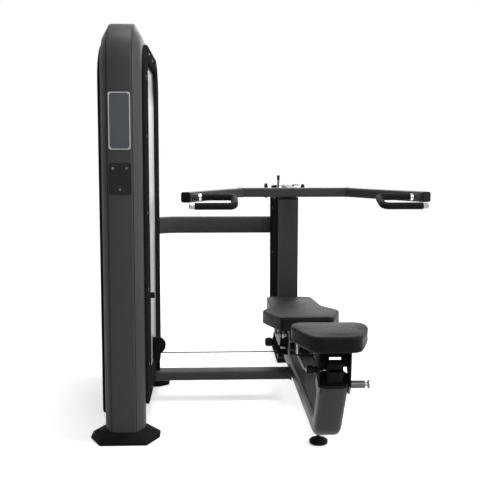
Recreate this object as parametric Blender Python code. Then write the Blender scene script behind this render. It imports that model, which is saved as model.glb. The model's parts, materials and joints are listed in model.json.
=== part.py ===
"""Multi-press machine: weight tower, adjustable bench and pivoting press arm.

Metres, +Z up. The origin is the centre of the near tower foot's sole. +X runs from the
tower towards the bench, +Y runs from the seat end towards the press arm's column.
"""

import math

import bmesh
import bpy
from mathutils import Matrix, Vector

# Clearances
SEAT_GAP = 0.0003
RUN_GAP = 0.0005
SLIDE_GAP = 0.0015

# Tower frame and feet
TOWER_HEIGHT = 1.72
FOOT_SPACING = 0.839
FOOT_DEPTH = 0.191
FOOT_TIP_WIDTH = 0.288
FOOT_EDGE_WIDTH = 0.192
FOOT_OUTER_CUT = 0.095
FOOT_INNER_CUT = 0.038
FOOT_HEIGHT = 0.042
FOOT_RIM = 0.011
LOOP_WIDTH = 0.166
LOOP_FACE = 0.098
LOOP_CHAMFER = 0.059
LOOP_DEPTH = 0.130
LOOP_INSET = 0.038
LOOP_BEND = 0.183
LOOP_EASE = 0.004
TUBE_WALL = 0.004
BASE_WIDTH = 0.090
BASE_HEIGHT = 0.080

# Shrouds and the panel in the window
SHROUD_INSET = 0.092
SHROUD_DROP = 0.073
SHROUD_BEND = 0.165
SHROUD_FOOT_BEND = 0.035
SHROUD_THICKNESS = 0.0145
SHROUD_BOTTOM = 0.126
OUTER_BOTTOM = 0.090
SHROUD_WALL = 0.003
SHROUD_EDGE = 0.006
WINDOW_NEAR = 0.146
WINDOW_FAR = 0.160
WINDOW_HEAD = 0.072
WINDOW_SILL = 0.084
WINDOW_CORNER = 0.045
PANEL_MARGIN = 0.004
PANEL_DEPTH = 0.0075
PIN_SLOT_WIDTH = 0.060

# Plates on the near upright
NOTICE_WIDTH = 0.090
NOTICE_HEIGHT = 0.230
NOTICE_LEVEL = 1.316
ACCESSORY_WIDTH = 0.090
ACCESSORY_HEIGHT = 0.126
ACCESSORY_LEVEL = 1.086
UPRIGHT_PLATE_X = 0.0
PLATE_SHEET = 0.002

# Weight stack
ROD_RADIUS = 0.0095
ROD_SPACING = 0.240
BUMPER_RADIUS = 0.028
BUMPER_HEIGHT = 0.033
PLATE_WIDTH = 0.340
PLATE_DEPTH = 0.112
PLATE_THICKNESS = 0.0254
PLATES_PER_GROUP = 3
GROUPS = 6
LIFTED_GROUPS = 2
HEAD_THICKNESS = 0.030
STEM_RADIUS = 0.0125
STEM_RISE = 0.045
PIN_RADIUS = 0.0045
PIN_KNOB_RADIUS = 0.014

# Pulleys and cable
CABLE_RADIUS = 0.0025
PULLEY_WIDTH = 0.018
PULLEY_LIP = 0.0075
GUIDE_GROOVE = 0.034
BENCH_GROOVE = 0.025
CABLE_LEVEL = 0.231
CABLE_OUT = 0.063
TOP_PULLEY_DROP = 0.125
AXLE_RADIUS = 0.006

# Lower rail
RAIL_DEPTH = 0.092
RAIL_BOTTOM = 0.102
RAIL_HEIGHT = 0.043
RAIL_SETBACK = 0.119

# Bench
BENCH_X = 0.801
BEAM_WIDTH = 0.104
BEAM_HEIGHT = 0.081
BEAM_CORNER = 0.022
LEG_ANGLE = math.radians(34.0)
LEG_CORNER_Y = -0.306
LEG_BEND = 0.090
LEG_LENGTH = 0.275
LEG_CAP_LENGTH = 0.011
WEB_WIDTH = 0.084
WEB_TOP = 0.255
WEB_WALL = 0.003
BENCH_FOOT_RADIUS = 0.038
BENCH_FOOT_HEIGHT = 0.020
BENCH_FOOT_Y = -0.090
SEAT_RISE = 0.1825
SEAT_LEAD = 0.0877
SEAT_THICKNESS = 0.064
SEAT_LENGTH = 0.262
SEAT_HALF_WIDTH = 0.143
SEAT_POST_WIDTH = 0.056
SEAT_POST_DEPTH = 0.046
SEAT_POST_HOLD = 0.150
SEAT_POST_RISE = 0.066
SEAT_PIN_DROP = 0.024
SEAT_PIN_REACH = 0.116
CHEEK_OUT = 0.0535
CHEEK_SHEET = 0.006
PAD_NEAR_Y = 0.2925
PAD_COLUMN_GAP = 0.0225
PAD_TOP = 0.451
PAD_THICKNESS = 0.068
PAD_HALF_WIDTH = 0.188
PAD_DECLINE = math.radians(3.7)
PAD_PIVOT_Y = 0.390
PAD_PIVOT_Z = 0.335
PAD_PIN_Y = 0.450
PAD_PIN_Z = 0.300
PAD_STEP = 14.0

# Column and brace
COLUMN_Y = 1.200
POST_WIDTH = 0.110
POST_DEPTH = 0.090
POST_CHAMFER = 0.020
POST_SIDE_CUT = 0.018
COLUMN_HEIGHT = 0.938
COLUMN_FOOT_HEIGHT = 0.022
SPINE_GAP = 0.220
SPINE_WIDTH = 0.090
SPINE_DEPTH = 0.100
COVER_REACH = 0.0255
COVER_WALL = 0.002
COVER_FOOT = 0.100
BRACE_HEIGHT = 0.0985
BRACE_DEPTH = 0.060
BRACE_LEVEL = 0.7695
BRACE_BEND = 0.170

# Press arm
PIVOT_RISE = 0.042
PIVOT_BEHIND = 0.020
CAM_RADIUS = 0.140
CAM_LIP = 0.008
CAM_START = 165.0
CAM_END = 247.0
HUB_RADIUS = 0.030
SHAFT_RADIUS = 0.0125
ARM_TUBE = 0.048
ARM_RISE = 0.012
BAR_Y = 0.9055
BAR_HALF = 0.282
ARM_END_X = 0.552
ARM_END_Y = 0.370
HANDLE_RADIUS = 0.0125
GRIP_RADIUS = 0.0155
HANDLE_UPPER_Y = 0.385
HANDLE_LOWER_Y = 0.270
HANDLE_DROP = 0.035
HANDLE_BEND_X = 0.3326
HANDLE_CORNER = 0.026
HANDLE_MOUNT_X = 0.495
HANDLE_TIP_X = 0.5335
GRIP_UPPER_X = 0.4797
GRIP_LOWER_X = 0.511
LEVER_HEIGHT = 0.076

# Places that follow from the driving sizes
TOWER_MID = FOOT_SPACING / 2
LOOP_NEAR = LOOP_INSET - FOOT_DEPTH / 2
LOOP_FAR = FOOT_SPACING - LOOP_NEAR
BASE_TOP = RAIL_BOTTOM + BASE_HEIGHT
SHROUD_X = LOOP_WIDTH / 2 + RUN_GAP
RAIL_Y = TOWER_MID + RAIL_SETBACK
STACK_BOTTOM = BASE_TOP + BUMPER_HEIGHT + 2 * SEAT_GAP
GROUP_HEIGHT = PLATES_PER_GROUP * PLATE_THICKNESS
GROUP_PITCH = GROUP_HEIGHT + SEAT_GAP
STACK_TOP = STACK_BOTTOM + GROUPS * GROUP_PITCH
LINE_OFFSET = CABLE_RADIUS + SEAT_GAP
GUIDE_LINE = GUIDE_GROOVE + LINE_OFFSET
BENCH_LINE = BENCH_GROOVE + LINE_OFFSET
GUIDE_Z = CABLE_LEVEL + GUIDE_LINE
BEAM_BOTTOM = RAIL_BOTTOM
BEAM_TOP = BEAM_BOTTOM + BEAM_HEIGHT
BEAM_Z = BEAM_BOTTOM + BEAM_HEIGHT / 2
BENCH_END = COLUMN_Y - SEAT_GAP
SPINE_Y = COLUMN_Y + POST_DEPTH + SPINE_GAP
PIVOT_Y = COLUMN_Y + POST_DEPTH + PIVOT_BEHIND + CAM_RADIUS
PIVOT_Z = COLUMN_HEIGHT + PIVOT_RISE
ARM_LEVEL = PIVOT_Z + ARM_RISE
HANDLE_LOWER_Z = ARM_LEVEL - HANDLE_DROP
DRIVE_X = BENCH_X - POST_WIDTH / 2 - 0.013
DRIVE_Y = PIVOT_Y - CAM_RADIUS - LINE_OFFSET
QUADRANT_RADIUS = math.hypot(PAD_PIN_Y - PAD_PIVOT_Y, PAD_PIN_Z - PAD_PIVOT_Z)
QUADRANT_ANGLE = math.atan2(PAD_PIN_Z - PAD_PIVOT_Z, PAD_PIN_Y - PAD_PIVOT_Y)
LEG_DIR = Vector((0.0, -math.sin(LEG_ANGLE), math.cos(LEG_ANGLE)))
LEG_ACROSS = Vector((0.0, math.cos(LEG_ANGLE), math.sin(LEG_ANGLE)))
LEG_CORNER = Vector((BENCH_X, LEG_CORNER_Y, BEAM_Z))
LEG_END = LEG_CORNER + LEG_DIR * LEG_LENGTH
SEAT_TOP = LEG_END.z + SEAT_RISE
SEAT_FRONT_Y = LEG_END.y - SEAT_LEAD
PAD_LENGTH = COLUMN_Y - PAD_COLUMN_GAP - PAD_NEAR_Y


def clear_scene():
    """Remove whatever the file opened with."""
    for item in list(bpy.context.scene.objects):
        bpy.data.objects.remove(item, do_unlink=True)


def make_material(name, colour, roughness, metallic):
    """A plain Principled finish."""
    material = bpy.data.materials.new(name)
    material.use_nodes = True
    shader = material.node_tree.nodes["Principled BSDF"]
    shader.inputs["Base Color"].default_value = (*colour, 1.0)
    shader.inputs["Roughness"].default_value = roughness
    shader.inputs["Metallic"].default_value = metallic
    material.diffuse_color = (*colour, 1.0)
    return material


FINISHES = {
    "frame": ((0.045, 0.046, 0.048), 0.42, 0.55),
    "shroud": ((0.012, 0.012, 0.013), 0.38, 0.0),
    "panel": ((0.72, 0.73, 0.74), 0.45, 0.0),
    "plate": ((0.05, 0.055, 0.065), 0.5, 0.0),
    "cast": ((0.018, 0.018, 0.019), 0.5, 0.1),
    "weight": ((0.20, 0.205, 0.21), 0.45, 0.4),
    "steel": ((0.62, 0.62, 0.63), 0.22, 1.0),
    "zinc": ((0.42, 0.43, 0.44), 0.38, 0.9),
    "rubber": ((0.014, 0.014, 0.015), 0.75, 0.0),
    "plastic": ((0.02, 0.02, 0.022), 0.4, 0.0),
    "pad": ((0.10, 0.10, 0.105), 0.6, 0.0),
    "cable": ((0.02, 0.02, 0.02), 0.35, 0.0),
}


def new_object(name, bm, finish, pivot=None):
    """Turn a bmesh in world places into an object whose origin is its pivot."""
    origin = Vector(pivot) if pivot else Vector((0.0, 0.0, 0.0))
    bmesh.ops.recalc_face_normals(bm, faces=bm.faces)
    bmesh.ops.translate(bm, vec=-origin, verts=bm.verts)
    mesh = bpy.data.meshes.new(name)
    bm.to_mesh(mesh)
    bm.free()
    mesh.shade_smooth()
    mesh.set_sharp_from_angle(angle=math.radians(35))
    item = bpy.data.objects.new(name, mesh)
    item.location = origin
    bpy.context.scene.collection.objects.link(item)
    if finish:
        base = FINISHES[finish]
        item.data.materials.append(make_material(name + "_finish", *base))
    return item


def add_rings(bm, rings, closed=False, capped=True):
    """Skin a run of rings with quads, and cap its ends or close it on itself."""
    loops = [[bm.verts.new(p) for p in ring] for ring in rings]
    pairs = list(zip(loops, loops[1:]))
    if closed:
        pairs.append((loops[-1], loops[0]))
    for near, far in pairs:
        count = len(near)
        for i in range(count):
            j = (i + 1) % count
            bm.faces.new((near[i], near[j], far[j], far[i]))
    if capped and not closed:
        bm.faces.new(list(reversed(loops[0])))
        bm.faces.new(loops[-1])


def solid_of_rings(name, rings, finish, closed=False, pivot=None):
    """An object skinned over rings."""
    bm = bmesh.new()
    add_rings(bm, rings, closed)
    return new_object(name, bm, finish, pivot)


def on_plane(axis, level, u, v):
    """The point with in-plane places u and v on the plane across an axis."""
    if axis == "X":
        return Vector((level, u, v))
    if axis == "Y":
        return Vector((u, level, v))
    return Vector((u, v, level))


def prism(name, outline, axis, low, high, finish, pivot=None, ease=0.0):
    """An outline drawn across an axis and pushed from low to high."""
    rings = [[on_plane(axis, level, u, v) for u, v in outline] for level in (low, high)]
    item = solid_of_rings(name, rings, finish, pivot=pivot)
    if ease:
        soften(item, ease)
    return item


def block(name, low, high, finish, ease=0.0, pivot=None):
    """A box between two corners, its edges eased."""
    outline = [(low[0], low[1]), (high[0], low[1]), (high[0], high[1]), (low[0], high[1])]
    return prism(name, outline, "Z", low[2], high[2], finish, pivot, ease)


def soften(item, width, segments=1, angle=40.0):
    """Ease the edges sharper than an angle."""
    bevel = item.modifiers.new("ease", "BEVEL")
    bevel.width = width
    bevel.segments = segments
    bevel.limit_method = "ANGLE"
    bevel.angle_limit = math.radians(angle)
    return item


def circle(radius, count, start=0.0):
    """Points round a circle."""
    step = math.tau / count
    return [(radius * math.cos(start + i * step), radius * math.sin(start + i * step))
            for i in range(count)]


def rounded(width, height, radius, steps=3):
    """A rectangle about the origin with round corners."""
    points = []
    centres = ((1, 1), (-1, 1), (-1, -1), (1, -1))
    for corner, (sx, sy) in enumerate(centres):
        for i in range(steps + 1):
            angle = math.pi / 2 * (corner + i / steps)
            points.append((sx * (width / 2 - radius) + radius * math.cos(angle),
                           sy * (height / 2 - radius) + radius * math.sin(angle)))
    return points


def moved(outline, du, dv):
    """An outline shifted in its plane."""
    return [(u + du, v + dv) for u, v in outline]


def turned(name, profile, axis, centre, finish, count=24, pivot=None):
    """Revolve a closed profile of (radius, along) points about an axis."""
    rings = []
    for i in range(count):
        angle = math.tau * i / count
        ring = []
        for radius, along in profile:
            a, b = radius * math.cos(angle), radius * math.sin(angle)
            ring.append(Vector(centre) + on_plane(axis, along, a, b))
        rings.append(ring)
    return solid_of_rings(name, rings, finish, closed=True, pivot=pivot)


def lathe(name, profile, axis, centre, finish, count=24, pivot=None):
    """A solid turned piece: circles of (radius, along) skinned in a row."""
    rings = []
    for radius, along in profile:
        rings.append([Vector(centre) + on_plane(axis, along, u, v) for u, v in circle(radius, count)])
    return solid_of_rings(name, rings, finish, pivot=pivot)


def rod(name, axis, centre, radius, low, high, finish, count=16, pivot=None):
    """A plain round bar along an axis."""
    outline = circle(radius, count)
    rings = []
    for level in (low, high):
        rings.append([Vector(centre) + on_plane(axis, level, u, v) for u, v in outline])
    return solid_of_rings(name, rings, finish, pivot=pivot)


def arc(centre, radius, start, end, steps, u_dir, v_dir):
    """Points along an arc from start to end degrees in the plane of two directions."""
    points = []
    for i in range(steps + 1):
        angle = math.radians(start + (end - start) * i / steps)
        points.append(Vector(centre) + radius * (math.cos(angle) * Vector(u_dir)
                                                 + math.sin(angle) * Vector(v_dir)))
    return points


def carried(points, section, side):
    """Rings of a section carried along a path and mitred where it turns."""
    points = [Vector(p) for p in points]
    runs = [(b - a).normalized() for a, b in zip(points, points[1:])]
    side = Vector(side).normalized()
    rings = []
    for i, point in enumerate(points):
        run = runs[max(i - 1, 0)]
        ahead = runs[min(i, len(runs) - 1)]
        plane = (run + ahead).normalized()
        rise = run.cross(side)
        ring = []
        for a, b in section:
            offset = a * side + b * rise
            ring.append(point + offset - run * (offset.dot(plane) / run.dot(plane)))
        rings.append(ring)
        side = run.rotation_difference(ahead) @ side
    return rings


def shrunk(section, wall):
    """A convex section moved inwards by a wall."""
    count = len(section)
    lines = []
    for i in range(count):
        a, b = Vector(section[i]), Vector(section[(i + 1) % count])
        run = (b - a).normalized()
        inward = Vector((-run.y, run.x))
        lines.append((a + inward * wall, run))
    corners = []
    for i in range(count):
        (p, d), (q, e) = lines[i - 1], lines[i]
        cross = d.x * e.y - d.y * e.x
        t = ((q.x - p.x) * e.y - (q.y - p.y) * e.x) / cross
        corners.append(tuple(p + d * t))
    return corners


def tube(name, points, section, side, finish, wall=TUBE_WALL, pivot=None):
    """A hollow section carried along a path, open at both ends."""
    outer = carried(points, section, side)
    inner = carried(points, shrunk(section, wall), side)
    bm = bmesh.new()
    shell = [[bm.verts.new(p) for p in ring] for ring in outer]
    bore = [[bm.verts.new(p) for p in ring] for ring in inner]
    count = len(section)
    for i in range(count):
        j = (i + 1) % count
        for a, b in zip(shell, shell[1:]):
            bm.faces.new((a[i], a[j], b[j], b[i]))
        for a, b in zip(bore, bore[1:]):
            bm.faces.new((a[j], a[i], b[i], b[j]))
        bm.faces.new((shell[0][j], shell[0][i], bore[0][i], bore[0][j]))
        bm.faces.new((shell[-1][i], shell[-1][j], bore[-1][j], bore[-1][i]))
    return new_object(name, bm, finish, pivot)


def boolean(item, tool, operation):
    """Cut or join a second shape, which stays behind as a hidden guide."""
    tool.hide_render = True
    tool.display_type = "WIRE"
    step = item.modifiers.new(tool.name, "BOOLEAN")
    step.operation = operation
    step.solver = "EXACT"
    step.object = tool
    return item


def cut(item, *tools):
    """Take shapes away."""
    for tool in tools:
        boolean(item, tool, "DIFFERENCE")
    return item


def fuse(item, *tools):
    """Weld shapes on."""
    for tool in tools:
        boolean(item, tool, "UNION")
    return item


def cut_box(name, low, high):
    """A hidden box used as a cutter or as a welded piece."""
    return block(name, low, high, None)


def cut_rod(name, axis, centre, radius, low, high, count=12):
    """A hidden round bar used as a cutter or as a welded piece."""
    return rod(name, axis, centre, radius, low, high, None, count)


def make_foot(name, y, outward):
    """A low pyramid foot: six-sided sole, short rim, slopes up to the upright."""
    half, tip, edge = FOOT_DEPTH / 2, FOOT_TIP_WIDTH / 2, FOOT_EDGE_WIDTH / 2
    sole = [(edge, -half), (tip, FOOT_OUTER_CUT - half), (tip, half - FOOT_INNER_CUT), (edge, half),
            (-edge, half), (-tip, half - FOOT_INNER_CUT), (-tip, FOOT_OUTER_CUT - half), (-edge, -half)]
    margin = 0.005
    face, side = LOOP_FACE / 2 + margin, LOOP_WIDTH / 2 + margin
    outer = LOOP_INSET - half - margin
    inner = outer + LOOP_DEPTH + 2 * margin
    crown = [(face, outer), (side, outer + LOOP_CHAMFER), (side, inner - 0.02), (side - 0.02, inner),
             (0.02 - side, inner), (-side, inner - 0.02), (-side, outer + LOOP_CHAMFER), (-face, outer)]
    levels = ((sole, 0.0), (sole, FOOT_RIM), (crown, FOOT_HEIGHT))
    rings = [[Vector((u, y - outward * v, z)) for u, v in outline] for outline, z in levels]
    return soften(solid_of_rings(name, rings, "cast"), 0.002)


def loop_section():
    """The tower tube's section: u across X, v from its outer face inwards."""
    side, face, lip = LOOP_WIDTH / 2, LOOP_FACE / 2, 0.018
    ease, soft = LOOP_EASE, 0.010
    half = [(face - ease, 0.0), (face + 0.6 * ease, ease),
            (side - 0.5 * soft, LOOP_CHAMFER - soft), (side, LOOP_CHAMFER + soft),
            (side, LOOP_DEPTH - lip), (side - lip, LOOP_DEPTH)]
    other = [(-u, v) for u, v in reversed(half)]
    return half + other


def build_tower():
    """Loop frame, feet, base member, shrouds, panel and the upright's plates."""
    make_foot("near_foot", 0.0, -1)
    make_foot("far_foot", FOOT_SPACING, 1)
    foot_top = FOOT_HEIGHT + SEAT_GAP
    bend = TOWER_HEIGHT - LOOP_BEND
    path = [Vector((0, LOOP_NEAR, foot_top))]
    path += arc((0, LOOP_NEAR + LOOP_BEND, bend), LOOP_BEND, 180, 90, 14, (0, 1, 0), (0, 0, 1))
    path += arc((0, LOOP_FAR - LOOP_BEND, bend), LOOP_BEND, 90, 0, 14, (0, 1, 0), (0, 0, 1))
    path.append(Vector((0, LOOP_FAR, foot_top)))
    tube("tower_frame", path, loop_section(), (1, 0, 0), "frame")
    near_inner, far_inner = LOOP_NEAR + LOOP_DEPTH + SEAT_GAP, LOOP_FAR - LOOP_DEPTH - SEAT_GAP
    base_z = RAIL_BOTTOM + BASE_HEIGHT / 2
    tube("tower_base", [(0, near_inner, base_z), (0, far_inner, base_z)],
         rounded(BASE_WIDTH, BASE_HEIGHT, 0.008, 1), (1, 0, 0), "frame")
    build_shrouds()
    build_plates_on_upright()


def shroud_outline(inset, bottom=SHROUD_BOTTOM, step=7):
    """The shroud's edge in the YZ plane, moved in by an inset."""
    near, far = LOOP_NEAR + SHROUD_INSET, LOOP_FAR - SHROUD_INSET + 0.054
    top = TOWER_HEIGHT - SHROUD_DROP
    points = []
    for corner, (y, z, bend) in enumerate(((far, top, SHROUD_BEND), (near, top, SHROUD_BEND),
                                           (near, bottom, SHROUD_FOOT_BEND),
                                           (far, bottom, SHROUD_FOOT_BEND))):
        radius = bend - inset
        u = y - bend if y == far else y + bend
        v = z - bend if z == top else z + bend
        for i in range(step + 1):
            angle = math.radians(90 * (corner + i / step))
            points.append((u + radius * math.cos(angle), v + radius * math.sin(angle)))
    return points


def window_outline(inset, step=7):
    """The window's edge in the YZ plane, moved in by an inset."""
    edge = shroud_outline(0.0)
    near, far = min(u for u, v in edge) + WINDOW_NEAR, max(u for u, v in edge) - WINDOW_FAR
    low, high = SHROUD_BOTTOM + WINDOW_SILL, max(v for u, v in edge) - WINDOW_HEAD
    outline = rounded(far - near - 2 * inset, high - low - 2 * inset, WINDOW_CORNER - inset, step)
    return moved(outline, (near + far) / 2, (low + high) / 2)


def build_shrouds():
    """Thin covers on both sides, and the panel behind the bench side's window."""
    inner, outer = SHROUD_X, SHROUD_X + SHROUD_THICKNESS
    wall, ease = SHROUD_WALL, SHROUD_EDGE
    section = [(shroud_outline(0.0), inner), (shroud_outline(0.0), outer - ease),
               (shroud_outline(0.3 * ease), outer - 0.3 * ease), (shroud_outline(ease), outer),
               (window_outline(-ease / 2), outer), (window_outline(0.0), outer - ease / 2),
               (window_outline(0.0), inner), (window_outline(-wall), inner),
               (window_outline(-wall), outer - wall), (shroud_outline(wall + 0.7 * ease), outer - wall),
               (shroud_outline(wall), outer - wall - 0.7 * ease), (shroud_outline(wall), inner)]
    rings = [[Vector((x, u, v)) for u, v in loop] for loop, x in section]
    shroud = solid_of_rings("bench_side_shroud", rings, "shroud", closed=True)
    half = RAIL_DEPTH / 2 + 0.006
    cut(shroud, cut_box("cable_slot", (inner - 0.02, RAIL_Y - half, 0.05),
                        (outer + 0.02, RAIL_Y + half, SHROUD_BOTTOM + WINDOW_SILL + 0.02)))
    plain = [(ease, outer), (0.3 * ease, outer - 0.3 * ease), (0.0, outer - ease), (0.0, inner),
             (wall, inner), (wall, outer - wall - 0.7 * ease), (wall + 0.7 * ease, outer - wall)]
    rings = [[Vector((-x, u, v)) for u, v in shroud_outline(inset, OUTER_BOTTOM)] for inset, x in plain]
    solid_of_rings("outer_shroud", rings, "shroud")
    build_window_panel(inner)


def build_window_panel(shroud_back):
    """A thermoformed tray behind the window, slotted for the selector pin and the pulley."""
    edge, wall = -PANEL_MARGIN, 0.004
    front, back = shroud_back - SEAT_GAP, shroud_back - SEAT_GAP - PANEL_DEPTH
    tray = [(window_outline(edge), back), (window_outline(edge), front),
            (window_outline(edge + wall), front), (window_outline(edge + wall), back + wall)]
    panel = solid_of_rings("window_panel", [[Vector((x, u, v)) for u, v in loop] for loop, x in tray],
                           "panel")
    half = PIN_SLOT_WIDTH / 2
    slot_top = STACK_TOP + HEAD_THICKNESS + 0.16
    cut(panel, cut_box("pin_slot", (back - 0.02, TOWER_MID - half, STACK_BOTTOM - 0.005),
                       (front + 0.02, TOWER_MID + half, slot_top)))
    reach = GUIDE_GROOVE + PULLEY_LIP + 0.012
    cut(panel, cut_box("pulley_notch", (back - 0.02, RAIL_Y - 0.034, 0.1),
                       (front + 0.02, RAIL_Y + 0.034, GUIDE_Z + reach)))


def build_plates_on_upright():
    """Two thin bare plates on the near upright's outer face."""
    face = LOOP_NEAR - SEAT_GAP
    for name, width, height, level, finish in (
            ("notice_plate", NOTICE_WIDTH, NOTICE_HEIGHT, NOTICE_LEVEL, "plate"),
            ("accessory_plate", ACCESSORY_WIDTH, ACCESSORY_HEIGHT, ACCESSORY_LEVEL, "plastic")):
        outline = moved(rounded(width, height, 0.006, 2), UPRIGHT_PLATE_X, level)
        prism(name, outline, "Y", face - PLATE_SHEET, face, finish)


def plate_group_rings(bottom, count, thickness):
    """Plates stacked into one block, parted by shallow grooves."""
    full = moved(rounded(PLATE_DEPTH, PLATE_WIDTH, 0.012, 2), 0.0, TOWER_MID)
    slim = moved(rounded(PLATE_DEPTH - 0.004, PLATE_WIDTH - 0.004, 0.010, 2), 0.0, TOWER_MID)
    rings = []
    for i in range(count):
        low, high = bottom + i * thickness, bottom + (i + 1) * thickness
        rings += [(slim, low), (full, low + 0.001), (full, high - 0.001), (slim, high)]
    levels = [rings[0]]
    for loop, z in rings[1:]:
        if abs(z - levels[-1][1]) > 1e-6:
            levels.append((loop, z))
    return [[Vector((u, v, z)) for u, v in loop] for loop, z in levels]


def rod_places():
    """The two guide rods' places along Y."""
    return (TOWER_MID - ROD_SPACING / 2, TOWER_MID + ROD_SPACING / 2)


def pin_levels():
    """The height of each plate's pin hole, top plate first."""
    levels = []
    for group in range(GROUPS):
        top = STACK_TOP - SEAT_GAP - group * GROUP_PITCH
        levels += [top - (i + 0.5) * PLATE_THICKNESS for i in range(PLATES_PER_GROUP)]
    return levels


def build_stack():
    """Guide rods, bumpers, plate groups, head plate, stem and selector pin."""
    rod_top = TOWER_HEIGHT - LOOP_DEPTH - SEAT_GAP
    for label, y in zip(("near", "far"), rod_places()):
        rod("guide_rod_" + label, "Z", (0, y, 0), ROD_RADIUS, BASE_TOP + SEAT_GAP, rod_top, "steel")
        low = BASE_TOP + SEAT_GAP
        profile = [(ROD_RADIUS + SEAT_GAP, low), (BUMPER_RADIUS, low),
                   (BUMPER_RADIUS, low + BUMPER_HEIGHT * 0.8),
                   (BUMPER_RADIUS - 0.006, low + BUMPER_HEIGHT),
                   (ROD_RADIUS + SEAT_GAP, low + BUMPER_HEIGHT)]
        turned("stack_bumper_" + label, profile, "Z", (0, y, 0), "rubber", 18)
    levels = pin_levels()
    for group in range(GROUPS):
        bottom = STACK_TOP - SEAT_GAP - group * GROUP_PITCH - GROUP_HEIGHT
        rings = plate_group_rings(bottom, PLATES_PER_GROUP, PLATE_THICKNESS)
        item = solid_of_rings("weight_plates_%d" % (group + 1), rings, "weight")
        bore_plates(item, bottom, GROUP_HEIGHT)
        for level in levels[group * PLATES_PER_GROUP:(group + 1) * PLATES_PER_GROUP]:
            cut(item, cut_rod("pin_hole", "X", (0, TOWER_MID, level), PIN_RADIUS + RUN_GAP,
                              -STEM_RADIUS - 0.006, PLATE_DEPTH, 8))
    head = solid_of_rings("head_plate", plate_group_rings(STACK_TOP, 1, HEAD_THICKNESS), "weight")
    bore_plates(head, STACK_TOP, HEAD_THICKNESS)
    build_stem(levels)


def bore_plates(item, bottom, height):
    """Holes for the guide rods and the stem."""
    for y in rod_places():
        cut(item, cut_rod("rod_bore", "Z", (0, y, 0), ROD_RADIUS + SLIDE_GAP, bottom - 0.01,
                          bottom + height + 0.01, 14))
    cut(item, cut_rod("stem_bore", "Z", (0, TOWER_MID, 0), STEM_RADIUS + SLIDE_GAP / 2,
                      bottom - 0.01, bottom + height + 0.01, 14))


def build_stem(levels):
    """The drilled stem that the cable lifts, and the pin in its plate."""
    stem_top = STACK_TOP + HEAD_THICKNESS + STEM_RISE
    foot = STACK_BOTTOM + 0.004
    profile = [(STEM_RADIUS, foot), (STEM_RADIUS, STACK_TOP + HEAD_THICKNESS + SEAT_GAP),
               (0.021, STACK_TOP + HEAD_THICKNESS + SEAT_GAP), (0.021, stem_top - 0.024),
               (0.009, stem_top - 0.014), (0.009, stem_top)]
    stem = lathe("selector_stem", profile, "Z", (0, TOWER_MID, 0), "steel", 14)
    for level in levels:
        cut(stem, cut_rod("stem_hole", "X", (0, TOWER_MID, level), PIN_RADIUS + RUN_GAP, -0.05, 0.05, 8))
    pin_z = levels[round(LIFTED_GROUPS * PLATES_PER_GROUP) - 1]
    face = PLATE_DEPTH / 2
    profile = [(0.0030, -STEM_RADIUS - 0.004), (PIN_RADIUS, -STEM_RADIUS - 0.002),
               (PIN_RADIUS, face + 0.001),
               (0.009, face + 0.001), (0.009, face + 0.009), (0.006, face + 0.013),
               (0.006, face + 0.020),
               (PIN_KNOB_RADIUS, face + 0.024), (PIN_KNOB_RADIUS, face + 0.040), (0.010, face + 0.044)]
    lathe("selector_pin", profile, "X", (0, TOWER_MID, pin_z), "plastic", 14)


def pulley(name, axis, centre, groove, finish="plastic", bore=AXLE_RADIUS + RUN_GAP, count=24,
           turn=None):
    """A grooved wheel about an axis, its origin on that axis."""
    half, rim = PULLEY_WIDTH / 2, groove + PULLEY_LIP
    profile = [(bore, -half), (rim, -half), (rim, -half + 0.003), (groove, -CABLE_RADIUS * 0.6),
               (groove, CABLE_RADIUS * 0.6), (rim, half - 0.003), (rim, half), (bore, half)]
    item = turned(name, profile, axis, (0, 0, 0), finish, count)
    item.location = Vector(centre)
    if turn:
        item.rotation_euler = (0.0, 0.0, turn)
    return item


def top_pulley_place():
    """Centre, groove radius and heading of the pulley under the tower's top."""
    start = Vector((0, TOWER_MID, 0))
    drop = Vector((CABLE_OUT, RAIL_Y, 0))
    heading = (drop - start).normalized()
    centre = (start + drop) / 2
    centre.z = TOWER_HEIGHT - LOOP_DEPTH - TOP_PULLEY_DROP
    return centre, (drop - start).length / 2 - LINE_OFFSET, heading


def build_pulleys():
    """Cable pulleys with the hanger and axles that carry them."""
    centre, groove, heading = top_pulley_place()
    turn = math.atan2(heading.y, heading.x)
    pulley("top_pulley", "Y", centre, groove, turn=turn)
    top = TOWER_HEIGHT - LOOP_DEPTH - SEAT_GAP
    cheek = PULLEY_WIDTH / 2 + SLIDE_GAP
    local = [(-0.030, top - centre.z - 0.006), (-0.016, -0.016), (0.016, -0.016),
             (0.030, top - centre.z - 0.006)]
    hanger = prism("pulley_hanger", [(-0.045, top - centre.z - 0.007), (0.045, top - centre.z - 0.007),
                                     (0.045, top - centre.z), (-0.045, top - centre.z)],
                   "Y", -cheek - 0.012, cheek + 0.012, "zinc")
    parts = [prism("hanger_cheek", local, "Y", side * cheek + min(side, 0) * 0.005,
                   side * cheek + max(side, 0) * 0.005, None) for side in (-1, 1)]
    parts.append(cut_rod("hanger_axle", "Y", (0, 0, 0), AXLE_RADIUS, -cheek - 0.004, cheek + 0.004, 16))
    for item in [hanger] + parts:
        item.location = centre
        item.rotation_euler = (0.0, 0.0, turn)
    fuse(hanger, *parts)
    pulley("lower_pulley", "Y", (CABLE_OUT + GUIDE_LINE, RAIL_Y, GUIDE_Z), GUIDE_GROOVE)
    pulley("bench_pulley", "Z", (DRIVE_X - BENCH_LINE, RAIL_Y + BENCH_LINE, CABLE_LEVEL), BENCH_GROOVE)
    pulley("column_pulley", "X", (DRIVE_X, DRIVE_Y - GUIDE_LINE, GUIDE_Z), GUIDE_GROOVE)


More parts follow.
